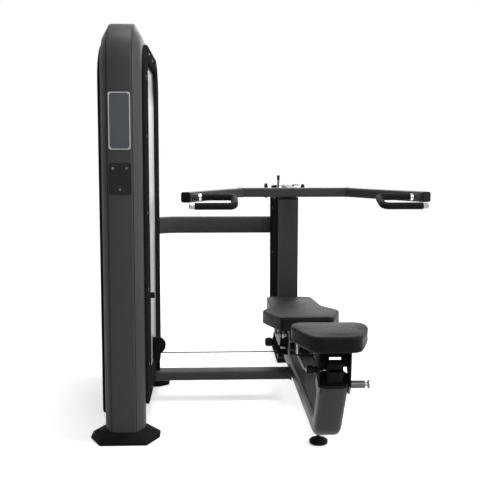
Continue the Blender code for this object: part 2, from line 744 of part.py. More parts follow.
def build_cables():
    """The lift cable from the stem over the pulleys to the press arm's cam."""
    centre, groove, heading = top_pulley_place()
    line = groove + LINE_OFFSET
    ring = circle(CABLE_RADIUS, 8)
    stem_top = STACK_TOP + HEAD_THICKNESS + STEM_RISE + SEAT_GAP
    rise = [Vector((0, TOWER_MID, stem_top)), Vector((0, TOWER_MID, centre.z - SEAT_GAP))]
    solid_of_rings("stack_cable", carried(rise, ring, (1, 0, 0)), "cable")
    up, along = Vector((0, 0, 1)), Vector((1, 0, 0))
    path = arc(centre, line, 180, 0, 16, heading, up)
    path += arc((CABLE_OUT + GUIDE_LINE, RAIL_Y, GUIDE_Z), GUIDE_LINE, 180, 270, 8, along, up)
    path += arc((DRIVE_X - BENCH_LINE, RAIL_Y + BENCH_LINE, CABLE_LEVEL), BENCH_LINE, -90, 0, 8, along,
                (0, 1, 0))
    path += arc((DRIVE_X, DRIVE_Y - GUIDE_LINE, GUIDE_Z), GUIDE_LINE, 270, 360, 8, (0, 1, 0), up)
    path.append(Vector((DRIVE_X, DRIVE_Y, PIVOT_Z - 0.045)))
    solid_of_rings("drive_cable", carried(path, ring, heading.cross(up)), "cable")


def build_rail_and_beam():
    """Cross rail, J-shaped bench beam, its web, cap and levelling foot."""
    left, right = BASE_WIDTH / 2 + SEAT_GAP, BENCH_X - BEAM_WIDTH / 2 - SEAT_GAP
    rail_z = RAIL_BOTTOM + RAIL_HEIGHT / 2
    rail = tube("lower_rail", [(left, RAIL_Y, rail_z), (right, RAIL_Y, rail_z)],
                rounded(RAIL_DEPTH, RAIL_HEIGHT, 0.010, 2), (0, 1, 0), "frame", 0.003)
    fuse(rail, *lower_pulley_bracket())
    section = rounded(BEAM_WIDTH, BEAM_HEIGHT, BEAM_CORNER, 3)
    path, side = leg_path()
    beam = tube("bench_beam", path, section, side, "frame")
    pin = leg_point(LEG_LENGTH - SEAT_PIN_DROP, 0.0)
    for sign in (-1, 1):
        low, high = sorted((BENCH_X + sign * (BEAM_WIDTH / 2 - 0.0005),
                            BENCH_X + sign * (CHEEK_OUT + CHEEK_SHEET)))
        outline = leg_outline(LEG_LENGTH - 0.043, LEG_LENGTH - 0.0005, 0.030, 0.034)
        fuse(beam, prism("leg_pad", outline, "X", low, high, None))
    fuse(beam, cut_rod("pin_barrel", "X", (BENCH_X, pin.y, pin.z), 0.0145, CHEEK_OUT, SEAT_PIN_REACH,
                       18))
    cut(beam, cut_rod("barrel_bore", "X", (BENCH_X, pin.y, pin.z), 0.0055, SEAT_POST_WIDTH / 2 + 0.004,
                      SEAT_PIN_REACH + 0.01, 10))
    cap_start = LEG_END + LEG_DIR * SEAT_GAP
    cap = [cap_start, cap_start + LEG_DIR * LEG_CAP_LENGTH]
    collar = solid_of_rings("leg_cap", carried(cap, section, side), "plastic")
    soften(collar, 0.004)
    hole = rounded(SEAT_POST_WIDTH + 2 * RUN_GAP, SEAT_POST_DEPTH + 2 * RUN_GAP, 0.006, 2)
    bore = [cap_start - LEG_DIR * 0.02, cap_start + LEG_DIR * (LEG_CAP_LENGTH + 0.02)]
    cut(collar, solid_of_rings("collar_hole", carried(bore, hole, side), None))
    build_web()
    build_bench_foot()


def leg_point(along, across):
    """A place on the bench's middle plane, measured along and across the leg."""
    return LEG_CORNER + LEG_DIR * along + LEG_ACROSS * across


def leg_outline(low, high, low_half, high_half):
    """A four-sided outline in the YZ plane that follows the leg."""
    corners = [leg_point(low, -low_half), leg_point(low, low_half),
               leg_point(high, high_half), leg_point(high, -high_half)]
    return [(p.y, p.z) for p in corners]


def leg_path():
    """The beam's centre line from the column forward, bent up into the leg."""
    back = Vector((0, 1, 0))
    turn = math.pi / 2 - LEG_ANGLE
    reach = LEG_BEND * math.tan(turn / 2)
    start = LEG_CORNER + back * reach
    centre = start + Vector((0, 0, LEG_BEND))
    path = [Vector((BENCH_X, BENCH_END, BEAM_Z))]
    path += arc(centre, LEG_BEND, 270, 270 - math.degrees(turn), 6, (0, 1, 0), (0, 0, 1))
    path.append(LEG_END)
    return path, Vector((1, 0, 0))


def lower_pulley_bracket():
    """Two cheeks and an axle, welded on the rail's tower end."""
    cheek = PULLEY_WIDTH / 2 + SLIDE_GAP
    x, base = CABLE_OUT + GUIDE_LINE, RAIL_BOTTOM + RAIL_HEIGHT - 0.001
    parts = []
    outline = [(x - 0.026, base), (x + 0.013, base), (x + 0.011, GUIDE_Z + 0.010),
               (x - 0.011, GUIDE_Z + 0.010)]
    for side in (-1, 1):
        low, high = sorted((RAIL_Y + side * cheek, RAIL_Y + side * (cheek + 0.005)))
        parts.append(prism("guide_cheek", outline, "Y", low, high, None))
    parts.append(cut_rod("guide_axle", "Y", (x, 0, GUIDE_Z), AXLE_RADIUS, RAIL_Y - cheek - 0.004,
                         RAIL_Y + cheek + 0.004, 16))
    return parts


def build_web():
    """A sheet box on the beam that rises to the leg and carries the bench pulley."""
    half, low = WEB_WIDTH / 2, BEAM_TOP + SEAT_GAP
    leg_low = leg_point(0.075, BEAM_HEIGHT / 2 + 0.002)
    leg_high = leg_point(LEG_LENGTH - 0.030, BEAM_HEIGHT / 2 + 0.002)
    outline = [(BENCH_END, low), (BENCH_END, WEB_TOP), (0.100, WEB_TOP),
               (leg_high.y + 0.030, leg_high.z), (leg_high.y, leg_high.z),
               (leg_low.y, leg_low.z), (leg_low.y + 0.075, low)]
    web = prism("bench_web", outline, "X", BENCH_X - half, BENCH_X + half, "frame")
    wall = WEB_WALL
    room = [(BENCH_END + 0.01, low + wall), (BENCH_END + 0.01, WEB_TOP - wall),
            (0.100 - wall, WEB_TOP - wall),
            (leg_high.y + 0.030 - wall, leg_high.z - wall), (leg_high.y + wall, leg_high.z - wall),
            (leg_low.y + 2 * wall, leg_low.z + wall), (leg_low.y + 0.075 + wall, low + wall)]
    cut(web, prism("web_room", room, "X", BENCH_X - half + wall, BENCH_X + half - wall, None))
    x, y = DRIVE_X - BENCH_LINE, RAIL_Y + BENCH_LINE
    shelf_top = CABLE_LEVEL - PULLEY_WIDTH / 2 - SLIDE_GAP
    shelf = [(BENCH_X - half + wall, y - 0.028), (BENCH_X - half + wall, y + 0.028), (x, y + 0.020),
             (x - 0.020, y + 0.010), (x - 0.020, y - 0.010), (x, y - 0.020)]
    parts = [prism("pulley_shelf", shelf, "Z", shelf_top - 0.008, shelf_top, None),
             cut_rod("shelf_boss", "Z", (x, y, 0), 0.014, shelf_top - 0.022, shelf_top - 0.004, 14),
             cut_rod("shelf_axle", "Z", (x, y, 0), AXLE_RADIUS, shelf_top - 0.006,
                     CABLE_LEVEL + PULLEY_WIDTH / 2 + 0.002, 14)]
    fuse(web, *parts)


def build_bench_foot():
    """A levelling foot: rubber puck, stem and lock nut under the beam."""
    nut = BEAM_BOTTOM - SEAT_GAP
    profile = [(BENCH_FOOT_RADIUS - 0.003, 0.0), (BENCH_FOOT_RADIUS, 0.003),
               (BENCH_FOOT_RADIUS, BENCH_FOOT_HEIGHT - 0.005),
               (BENCH_FOOT_RADIUS - 0.006, BENCH_FOOT_HEIGHT),
               (0.016, BENCH_FOOT_HEIGHT + 0.006), (0.008, BENCH_FOOT_HEIGHT + 0.008),
               (0.008, nut - 0.012), (0.017, nut - 0.012), (0.017, nut)]
    place = (BENCH_X, BENCH_FOOT_Y, 0)
    lathe("bench_foot", profile, "Z", place, "rubber", 24, pivot=place)


def mirrored_outline(half):
    """A closed outline from (along, half width) points, symmetric about the bench's centre."""
    right = [(BENCH_X + w, y) for y, w in half]
    left = [(BENCH_X - w, y) for y, w in reversed(half)]
    return right + left


def smooth_half(points, steps):
    """Catmull-Rom points through a half outline."""
    result = []
    padded = [points[0]] + points + [points[-1]]
    for i in range(1, len(padded) - 2):
        p0, p1, p2, p3 = (Vector(p) for p in padded[i - 1:i + 3])
        for k in range(steps):
            t = k / steps
            result.append(tuple(0.5 * ((2 * p1) + (p2 - p0) * t + (2 * p0 - 5 * p1 + 4 * p2 - p3) * t * t
                                       + (3 * p1 - p0 - 3 * p2 + p3) * t ** 3)))
    result.append(tuple(points[-1]))
    return result


def cushion(name, outline, bottom, thickness, crown, finish, pivot=None):
    """A pad: flat back, slightly drawn-in sides, rounded rim and a crowned face."""
    centre = sum((Vector(p) for p in outline), Vector((0, 0))) / len(outline)

    def pulled(amount):
        loop = []
        for p in outline:
            out = Vector(p) - centre
            loop.append(centre + out * (1 - amount / out.length))
        return loop

    top = bottom + thickness
    levels = [(0.006, bottom), (0.0, bottom + 0.008), (0.002, bottom + thickness * 0.45),
              (0.0, top - 0.010), (0.0015, top - 0.004), (0.008, top - 0.0005)]
    rings = [[Vector((p.x, p.y, z)) for p in pulled(amount)] for amount, z in levels]
    for share in (0.72, 0.40):
        rise = top - 0.0005 + crown * (1 - share * share)
        rings.append([Vector((centre.x + (p[0] - centre.x) * share, centre.y + (p[1] - centre.y) * share,
                              rise))
                      for p in outline])
    return solid_of_rings(name, rings, finish, pivot=pivot)


def build_seat():
    """Seat pad on a carriage that slides along the leg, locked by a sprung pull pin."""
    front, length, wide = SEAT_FRONT_Y, SEAT_LENGTH, SEAT_HALF_WIDTH
    half = [(front, 0.055), (front + 0.012, 0.085), (front + 0.045, 0.102), (front + 0.125, 0.127),
            (front + 0.190, wide), (front + length - 0.022, wide - 0.006),
            (front + length, wide - 0.030)]
    bottom = SEAT_TOP - SEAT_THICKNESS
    cushion("seat_pad", mirrored_outline(smooth_half(half, 3)), bottom, SEAT_THICKNESS - 0.004, 0.004,
            "pad")
    build_carriage(bottom - SEAT_GAP, SEAT_FRONT_Y + SEAT_LENGTH / 2)


def build_carriage(plate_top, mid_y):
    """The seat's plate, cheeks and cross bar on a post that slides in the leg, and the pull pin."""
    carriage = block("seat_carriage", (BENCH_X - 0.080, mid_y - 0.090, plate_top - 0.007),
                     (BENCH_X + 0.080, mid_y + 0.085, plate_top), "cast")
    foot = leg_outline(LEG_LENGTH + 0.001, LEG_LENGTH + 0.002, 0.034, 0.034)
    cheek = [foot[0], foot[1], (mid_y + 0.060, plate_top - 0.004), (mid_y - 0.080, plate_top - 0.004)]
    pieces = []
    for sign in (-1, 1):
        low, high = sorted((BENCH_X + sign * CHEEK_OUT, BENCH_X + sign * (CHEEK_OUT + CHEEK_SHEET)))
        pieces.append(prism("carriage_cheek", cheek, "X", low, high, None))
    reach = CHEEK_OUT + CHEEK_SHEET / 2
    half, bar_y, bar_z = SEAT_POST_WIDTH / 2, mid_y - 0.034, plate_top - 0.0697
    head = leg_point(LEG_LENGTH + SEAT_POST_RISE, 0.0)
    pieces += [cut_box("cross_bar", (BENCH_X - reach, bar_y - 0.009, bar_z),
                       (BENCH_X + reach, bar_y + 0.009, bar_z + 0.023)),
               cut_box("hanging_rib", (BENCH_X - reach, bar_y - 0.004, plate_top - 0.035),
                       (BENCH_X + reach, bar_y + 0.004, plate_top - 0.005)),
               cut_box("post_tongue", (BENCH_X - half, head.y - 0.004, bar_z),
                       (BENCH_X + half, bar_y, bar_z + 0.020))]
    for low, high in ((-reach, -0.016), (0.028, reach)):
        pieces.append(cut_box("bar_rib", (BENCH_X + low, bar_y - 0.004, bar_z + 0.020),
                              (BENCH_X + high, bar_y + 0.004, plate_top - 0.030)))
    line = [leg_point(LEG_LENGTH - SEAT_POST_HOLD, 0.0), head]
    section = rounded(SEAT_POST_WIDTH, SEAT_POST_DEPTH, 0.006, 2)
    pieces.append(tube("seat_post", line, section, (1, 0, 0), None, 0.003))
    fuse(carriage, *pieces)
    pin = leg_point(LEG_LENGTH - SEAT_PIN_DROP, 0.0)
    end = SEAT_PIN_REACH
    profile = [(0.0045, SEAT_POST_WIDTH / 2 + 0.001), (0.0045, end + SEAT_GAP), (0.008, end + SEAT_GAP),
               (0.008, end + 0.009), (0.0165, end + 0.012), (0.0165, end + 0.017), (0.010, end + 0.018)]
    place = (BENCH_X, pin.y, pin.z)
    lathe("seat_pin_knob", profile, "X", place, "steel", 18, pivot=place)


def declined(items):
    """Turn pieces of the back rest about its pivot to the declined rest position."""
    pivot = Vector((BENCH_X, PAD_PIVOT_Y, PAD_PIVOT_Z))
    swing = Matrix.Translation(pivot) @ Matrix.Rotation(-PAD_DECLINE, 4,
                                                        "X") @ Matrix.Translation(-pivot)
    for item in items:
        item.matrix_world = swing @ item.matrix_basis


def build_back_rest():
    """Back pad on a hinged frame with an index quadrant, and its fixed bracket."""
    pivot = (BENCH_X, PAD_PIVOT_Y, PAD_PIVOT_Z)
    tilt_drop = math.tan(PAD_DECLINE) * (PAD_PIVOT_Y - PAD_NEAR_Y)
    top = PAD_TOP - tilt_drop
    near, wide, length = PAD_NEAR_Y, PAD_HALF_WIDTH, PAD_LENGTH
    half = [(near, 0.095), (near + 0.008, 0.124), (near + 0.130, 0.158), (near + 0.245, wide - 0.002),
            (near + 0.290, wide - 0.002), (near + 0.370, 0.160), (near + 0.450, 0.138),
            (near + 0.560, 0.130),
            (near + length - 0.055, 0.127), (near + length - 0.012, 0.113), (near + length, 0.085)]
    bottom = top - PAD_THICKNESS
    pad = cushion("back_pad", mirrored_outline(smooth_half(half, 3)), bottom, PAD_THICKNESS - 0.004,
                  0.004,
                  "pad", pivot)
    face = bottom - SEAT_GAP
    sheet = 0.006
    frame = block("back_frame", (BENCH_X - 0.090, PAD_PIVOT_Y - 0.030, face - sheet),
                  (BENCH_X + 0.090, PAD_PIVOT_Y + 0.060, face), "zinc", pivot=pivot)
    far = near + length - 0.190
    pieces = [cut_box("back_spar", (BENCH_X - 0.025, PAD_PIVOT_Y - 0.018, face - 0.032),
                      (BENCH_X + 0.025, far, face - 0.001)),
              cut_box("far_plate", (BENCH_X - 0.085, far - 0.090, face - sheet),
                      (BENCH_X + 0.085, far - 0.020, face)),
              cut_rod("back_sleeve", "X", pivot, 0.016, -0.033, 0.033, 18),
              cut_box("sleeve_lug", (BENCH_X - 0.025, PAD_PIVOT_Y - 0.014, PAD_PIVOT_Z),
                      (BENCH_X + 0.025, PAD_PIVOT_Y + 0.014, face - 0.010)),
              prism("quadrant", quadrant_outline(face - 0.002), "X", BENCH_X - 0.079, BENCH_X - 0.073,
                    None)]
    fuse(frame, *pieces)
    cut(frame, cut_rod("sleeve_bore", "X", pivot, 0.0080 + RUN_GAP, -0.05, 0.05, 16))
    for i in range(6):
        angle = QUADRANT_ANGLE + PAD_DECLINE - math.radians(PAD_STEP * i)
        place = (BENCH_X, PAD_PIVOT_Y + QUADRANT_RADIUS * math.cos(angle),
                 PAD_PIVOT_Z + QUADRANT_RADIUS * math.sin(angle))
        hole = cut_rod("index_hole", "X", place, 0.0055, -0.10, -0.06, 10)
        cut(frame, hole)
        pieces.append(hole)
    declined([pad, frame] + pieces + [bpy.data.objects["sleeve_bore"]])
    build_back_bracket(pivot)


def quadrant_outline(top):
    """A sector round the pivot joined to the frame above it."""
    y, z = PAD_PIVOT_Y, PAD_PIVOT_Z
    radius = QUADRANT_RADIUS + 0.011
    first = math.degrees(QUADRANT_ANGLE + PAD_DECLINE) - 5 * PAD_STEP - 9
    rim = []
    for i in range(11):
        angle = math.radians(first + i * (5 * PAD_STEP + 18) / 10)
        rim.append((y + radius * math.cos(angle), z + radius * math.sin(angle)))
    return rim + [(y + 0.058, top), (y - 0.020, top), (y - 0.022, z - 0.020)]


def build_back_bracket(pivot):
    """Cheeks on the web, the hinge bolt and the pull pin's housing, with its knob."""
    base = WEB_TOP + SEAT_GAP
    bracket = block("back_bracket", (BENCH_X - 0.0455, PAD_PIVOT_Y - 0.045, base),
                    (BENCH_X + 0.0455, PAD_PIN_Y + 0.040, base + 0.006), "zinc")
    cheek = [(PAD_PIVOT_Y - 0.030, base + 0.002), (PAD_PIVOT_Y + 0.040, base + 0.002),
             (PAD_PIVOT_Y + 0.016, PAD_PIVOT_Z + 0.012), (PAD_PIVOT_Y - 0.016, PAD_PIVOT_Z + 0.012)]
    pin = (BENCH_X, PAD_PIN_Y, PAD_PIN_Z)
    start, end = -0.079 - SLIDE_GAP, -0.146
    arm_near = PAD_PIVOT_Y + QUADRANT_RADIUS + 0.0125
    pieces = [prism("back_cheek", cheek, "X", BENCH_X - 0.044, BENCH_X - 0.036, None),
              prism("back_cheek", cheek, "X", BENCH_X + 0.036, BENCH_X + 0.044, None),
              cut_rod("back_bolt", "X", pivot, 0.008, -0.047, 0.047, 16),
              cut_box("pin_arm", (BENCH_X + end + 0.010, arm_near, base),
                      (BENCH_X - 0.040, PAD_PIN_Y + 0.035, base + 0.032)),
              cut_box("pin_block", (BENCH_X + end, PAD_PIN_Y - 0.022, PAD_PIN_Z - 0.030),
                      (BENCH_X + start, arm_near + 0.008, PAD_PIN_Z + 0.048))]
    fuse(bracket, *pieces)
    cut(bracket, cut_rod("block_bore", "X", pin, 0.0055, end - 0.01, start + 0.01, 10),
        cut_box("block_relief", (BENCH_X + end - 0.01, PAD_PIN_Y - 0.015, PAD_PIN_Z + 0.018),
                (BENCH_X + start - 0.008, PAD_PIN_Y + 0.05, PAD_PIN_Z + 0.05)))
    profile = [(0.0045, start - 0.0005), (0.0045, end - SEAT_GAP), (0.012, end - SEAT_GAP),
               (0.0205, end - 0.008), (0.0205, end - 0.031), (0.014, end - 0.037)]
    lathe("back_pin_knob", profile, "X", pin, "plastic", 20, pivot=pin)


def build_column():
    """Front post, rear spine, covers, foot and the brace back to the tower."""
    foot_top = COLUMN_FOOT_HEIGHT + SEAT_GAP
    half, deep, cham = POST_WIDTH / 2, POST_DEPTH, POST_CHAMFER
    section = [(half - cham, -deep / 2), (half, POST_SIDE_CUT - deep / 2), (half, deep / 2),
               (-half, deep / 2), (-half, POST_SIDE_CUT - deep / 2), (cham - half, -deep / 2)]
    mid = COLUMN_Y + deep / 2
    post = tube("column_post", [(BENCH_X, mid, foot_top), (BENCH_X, mid, COLUMN_HEIGHT)],
                [(u, -v) for u, v in reversed(section)], (1, 0, 0), "frame")
    place = (DRIVE_X, DRIVE_Y - GUIDE_LINE, GUIDE_Z)
    reach = PULLEY_WIDTH / 2
    fuse(post, cut_rod("pulley_stud", "X", place, AXLE_RADIUS, -reach - 0.002, 0.016, 14),
         cut_rod("stud_head", "X", place, 0.010, -reach - 0.006, -reach - SLIDE_GAP, 14),
         cut_rod("stud_boss", "X", place, 0.011, reach + SLIDE_GAP, 0.015, 14))
    spine = SPINE_Y + SPINE_DEPTH / 2
    tube("column_spine", [(BENCH_X, spine, foot_top), (BENCH_X, spine, COLUMN_HEIGHT)],
         rounded(SPINE_WIDTH, SPINE_DEPTH, 0.012, 2), (1, 0, 0), "frame")
    block("column_foot", (BENCH_X - 0.060, COLUMN_Y - 0.006, 0.0),
          (BENCH_X + 0.060, SPINE_Y + SPINE_DEPTH + 0.010, COLUMN_FOOT_HEIGHT), "cast", 0.004)
    build_covers()
    left = (BENCH_X - SPINE_WIDTH / 2 - SEAT_GAP, spine, BRACE_LEVEL)
    end = (0, LOOP_FAR + SEAT_GAP, BRACE_LEVEL)
    path = [Vector(left)] + arc((BRACE_BEND, spine - BRACE_BEND, BRACE_LEVEL), BRACE_BEND, 90, 180, 8,
                                (1, 0, 0), (0, 1, 0))
    path.append(Vector(end))
    tube("upper_brace", path, rounded(BRACE_HEIGHT, BRACE_DEPTH, 0.012, 2), (0, 0, 1), "frame", 0.003)


def build_covers():
    """Folded sheet covers between post and spine, the left one over the cable."""
    near, far = COLUMN_Y + POST_DEPTH - 0.015, SPINE_Y - 0.005
    for name, sign, reach, bottom in (("column_cover_left", -1, COVER_REACH, GUIDE_Z + 0.060),
                                      ("column_cover_right", 1, 0.006, COVER_FOOT)):
        inner, outer = POST_WIDTH / 2 + SEAT_GAP, POST_WIDTH / 2 + reach
        wall = COVER_WALL
        outline = [(inner, near), (outer, near), (outer, far), (inner - 0.009, far),
                   (inner - 0.009, far - wall),
                   (outer - wall, far - wall), (outer - wall, near + wall), (inner, near + wall)]
        outline = [(BENCH_X + sign * u, v) for u, v in outline]
        prism(name, outline, "Z", bottom, COLUMN_HEIGHT, "shroud")


def build_pivot():
    """Housing on the column, the shaft with its index disc, and the cable cam."""
    base = COLUMN_HEIGHT + SEAT_GAP
    centre = (BENCH_X, PIVOT_Y, PIVOT_Z)
    housing = block("pivot_housing", (BENCH_X - 0.0545, COLUMN_Y, base),
                    (BENCH_X + 0.0545, SPINE_Y + SPINE_DEPTH, base + 0.010), "cast")
    cheek = [(PIVOT_Y - 0.055, base + 0.002), (PIVOT_Y + 0.055, base + 0.002)]
    cheek += [(PIVOT_Y + 0.034 * math.cos(math.radians(a)), PIVOT_Z + 0.034 * math.sin(math.radians(a)))
              for a in range(10, 171, 20)]
    pieces = [prism("pivot_cheek", cheek, "X", BENCH_X - 0.0545, BENCH_X - 0.0465, None),
              prism("pivot_cheek", cheek, "X", BENCH_X + 0.0465, BENCH_X + 0.0545, None),
              cut_box("front_block", (BENCH_X - 0.048, COLUMN_Y + 0.030, base + 0.005),
                      (BENCH_X + 0.048, COLUMN_Y + 0.110, base + 0.024)),
              cut_rod("end_bearing", "X", centre, 0.042, 0.0530, 0.082, 24)]
    fuse(housing, *pieces)
    cut(housing, cut_rod("shaft_bore", "X", centre, SHAFT_RADIUS + RUN_GAP, -0.10, 0.10, 18),
        cut_box("disc_window", (BENCH_X - 0.041, PIVOT_Y - 0.045, base - 0.01),
                (BENCH_X - 0.013, PIVOT_Y + 0.045, base + 0.012)))
    profile = [(0.040, -0.118), (0.043, -0.115), (0.043, -0.103), (0.030, -0.100),
               (SHAFT_RADIUS, -0.100), (SHAFT_RADIUS, -0.031), (0.039, -0.031), (0.039, -0.019),
               (SHAFT_RADIUS, -0.019),
               (SHAFT_RADIUS, 0.098), (0.032, 0.100), (0.038, 0.103), (0.038, 0.114), (0.035, 0.117)]
    shaft = lathe("pivot_shaft", profile, "X", centre, "steel", 28, pivot=centre)
    for i in range(6):
        angle = math.radians(150 - 14 * i)
        place = (BENCH_X, PIVOT_Y + 0.030 * math.cos(angle), PIVOT_Z + 0.030 * math.sin(angle))
        cut(shaft, cut_rod("index_hole", "X", place, 0.0035, -0.036, -0.014, 8))
    build_cam(centre)


def cam_outline(rim):
    """The cam's edge: a rim arc for the cable, run into a round hub."""
    points = []
    steps = 14
    for i in range(steps + 1):
        angle = math.radians(CAM_START + (CAM_END - CAM_START) * i / steps)
        points.append((PIVOT_Y + rim * math.cos(angle), PIVOT_Z + rim * math.sin(angle)))
    for angle in range(int(CAM_END) + 45, int(CAM_START) + 360 - 40, 25):
        points.append((PIVOT_Y + HUB_RADIUS * math.cos(math.radians(angle)),
                       PIVOT_Z + HUB_RADIUS * math.sin(math.radians(angle))))
    return points


def build_cam(centre):
    """A grooved sector keyed to the shaft."""
    half = PULLEY_WIDTH / 2
    rim = CAM_RADIUS + CAM_LIP
    levels = ((-half, rim), (0.004 - half, rim), (-CABLE_RADIUS, CAM_RADIUS), (CABLE_RADIUS, CAM_RADIUS),
              (half - 0.004, rim), (half, rim))
    rings = [[Vector((DRIVE_X + x, u, v)) for u, v in cam_outline(r)] for x, r in levels]
    cam = solid_of_rings("drive_cam", rings, "cast", pivot=centre)
    cut(cam, cut_rod("cam_bore", "X", (DRIVE_X, PIVOT_Y, PIVOT_Z), SHAFT_RADIUS + SEAT_GAP, -0.03, 0.03,
                     18))
    for angle in (185, 207, 229):
        place = (DRIVE_X, PIVOT_Y + 0.088 * math.cos(math.radians(angle)),
                 PIVOT_Z + 0.088 * math.sin(math.radians(angle)))
        cut(cam, cut_rod("cam_window", "X", place, 0.014, -0.03, 0.03, 12))


def build_press_arm():
    """Yoke, stem and hub, start lever, handles, grips and end caps."""
    centre = (BENCH_X, PIVOT_Y, PIVOT_Z)
    z = ARM_LEVEL
    left, right = BENCH_X - BAR_HALF, BENCH_X + BAR_HALF
    path = [(BENCH_X - ARM_END_X, ARM_END_Y, z), (left, BAR_Y, z), (right, BAR_Y, z),
            (BENCH_X + ARM_END_X, ARM_END_Y, z)]
    section = rounded(ARM_TUBE, ARM_TUBE, 0.009, 2)
    yoke = tube("press_yoke", path, section, (0, 0, 1), "frame", 0.003, pivot=centre)
    for sign in (-1, 1):
        boss = cut_rod("handle_boss", "X", (BENCH_X, HANDLE_UPPER_Y, z), 0.017,
                       min(sign * HANDLE_MOUNT_X, sign * 0.535),
                       max(sign * HANDLE_MOUNT_X, sign * 0.535), 16)
        fuse(yoke, boss)
    build_stem_and_lever(centre)
    for side, sign in (("left", -1), ("right", 1)):
        build_handle(side, sign, centre)
        build_end_cap(side, sign, section, centre)


def build_stem_and_lever(centre):
    """The tube from yoke to pivot, its hub sleeve and the start-position lever."""
    z = ARM_LEVEL
    start = BAR_Y + ARM_TUBE / 2 + SEAT_GAP
    end = PIVOT_Y - 0.044
    stem = tube("press_stem", [(BENCH_X, start, z), (BENCH_X, end, z)],
                rounded(ARM_TUBE, ARM_TUBE, 0.009, 2),
                (0, 0, 1), "frame", 0.004, pivot=centre)
    fuse(stem, cut_rod("hub_sleeve", "X", centre, HUB_RADIUS, -0.017, 0.041, 22),
         cut_box("hub_web", (BENCH_X - 0.014, end - 0.050, z - 0.018),
                 (BENCH_X + 0.022, PIVOT_Y, z + 0.012)),
         cut_box("end_plate", (BENCH_X - 0.022, end - 0.005, z - 0.022),
                 (BENCH_X + 0.022, end - 0.001, z + 0.022)))
    cut(stem, cut_rod("hub_bore", "X", centre, SHAFT_RADIUS + RUN_GAP, -0.05, 0.06, 18))
    lever_y, lever_z = PIVOT_Y - 0.150, z + 0.006
    fuse(stem, cut_rod("lever_boss", "X", (BENCH_X, lever_y, lever_z), 0.007, -0.043, -0.022, 12))
    tip = lever_z + LEVER_HEIGHT
    outline = [(lever_y - 0.012, lever_z - 0.010), (lever_y + 0.012, lever_z - 0.010),
               (lever_y + 0.011, lever_z + 0.030), (lever_y + 0.006, tip), (lever_y - 0.006, tip),
               (lever_y - 0.011, lever_z + 0.030)]
    low, high = BENCH_X - 0.0555, BENCH_X - 0.0435
    prism("start_lever", outline, "X", low, high, "zinc", pivot=(BENCH_X, lever_y, lever_z), ease=0.0015)


def handle_path(sign, upper_x, lower_x):
    """The handle's centre line: upper leg, two tight bends and lower leg."""
    upper = Vector((0, HANDLE_UPPER_Y, ARM_LEVEL))
    lower = Vector((0, HANDLE_LOWER_Y, HANDLE_LOWER_Z))
    rise, out = (upper - lower).normalized(), Vector((sign, 0, 0))
    line = Vector((BENCH_X, 0, 0)) + out * (HANDLE_BEND_X + HANDLE_CORNER)
    path = [Vector((BENCH_X, 0, 0)) + out * upper_x + upper]
    path += arc(line + upper - rise * HANDLE_CORNER, HANDLE_CORNER, 90, 180, 6, out, rise)
    path += arc(line + lower + rise * HANDLE_CORNER, HANDLE_CORNER, 180, 270, 6, out, rise)
    path.append(Vector((BENCH_X, 0, 0)) + out * lower_x + lower)
    return path, out.cross(rise)


def build_handle(side, sign, centre):
    """A chromed U handle and the rubber grip round it."""
    path, across = handle_path(sign, HANDLE_MOUNT_X - SEAT_GAP, HANDLE_TIP_X)
    ring = circle(HANDLE_RADIUS, 12)
    soften(solid_of_rings("handle_" + side, carried(path, ring, across), "steel", pivot=centre), 0.002,
           1, 60)
    path, across = handle_path(sign, GRIP_UPPER_X, GRIP_LOWER_X)
    wall = GRIP_RADIUS - HANDLE_RADIUS - SEAT_GAP
    tube("grip_" + side, path, circle(GRIP_RADIUS / math.cos(math.pi / 12), 12), across, "rubber", wall,
         pivot=centre)


def build_end_cap(side, sign, section, centre):
    """A plug that closes the arm's tube."""
    end = Vector((BENCH_X + sign * ARM_END_X, ARM_END_Y, ARM_LEVEL))
    bend = Vector((BENCH_X + sign * BAR_HALF, BAR_Y, ARM_LEVEL))
    out = (end - bend).normalized()
    path = [end + out * SEAT_GAP, end + out * 0.006]
    cap = solid_of_rings("arm_end_cap_" + side, carried(path, section, (0, 0, 1)), "plastic",
                         pivot=centre)
    soften(cap, 0.002)


def main():
    """Build the whole machine."""
    clear_scene()
    build_tower()
    build_stack()
    build_pulleys()
    build_cables()
    build_rail_and_beam()
    build_seat()
    build_back_rest()
    build_column()
    build_pivot()
    build_press_arm()
    bpy.context.view_layer.update()


main()
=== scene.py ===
"""Looks of a multi-press machine: finishes, upholstery, fittings, light and camera."""

import json
import logging
import math
from collections.abc import Callable, Iterable, Iterator, Sequence
from contextlib import contextmanager
from dataclasses import dataclass, replace
from enum import Enum
from functools import cache

import bmesh
import bpy
from mathutils import Matrix, Vector


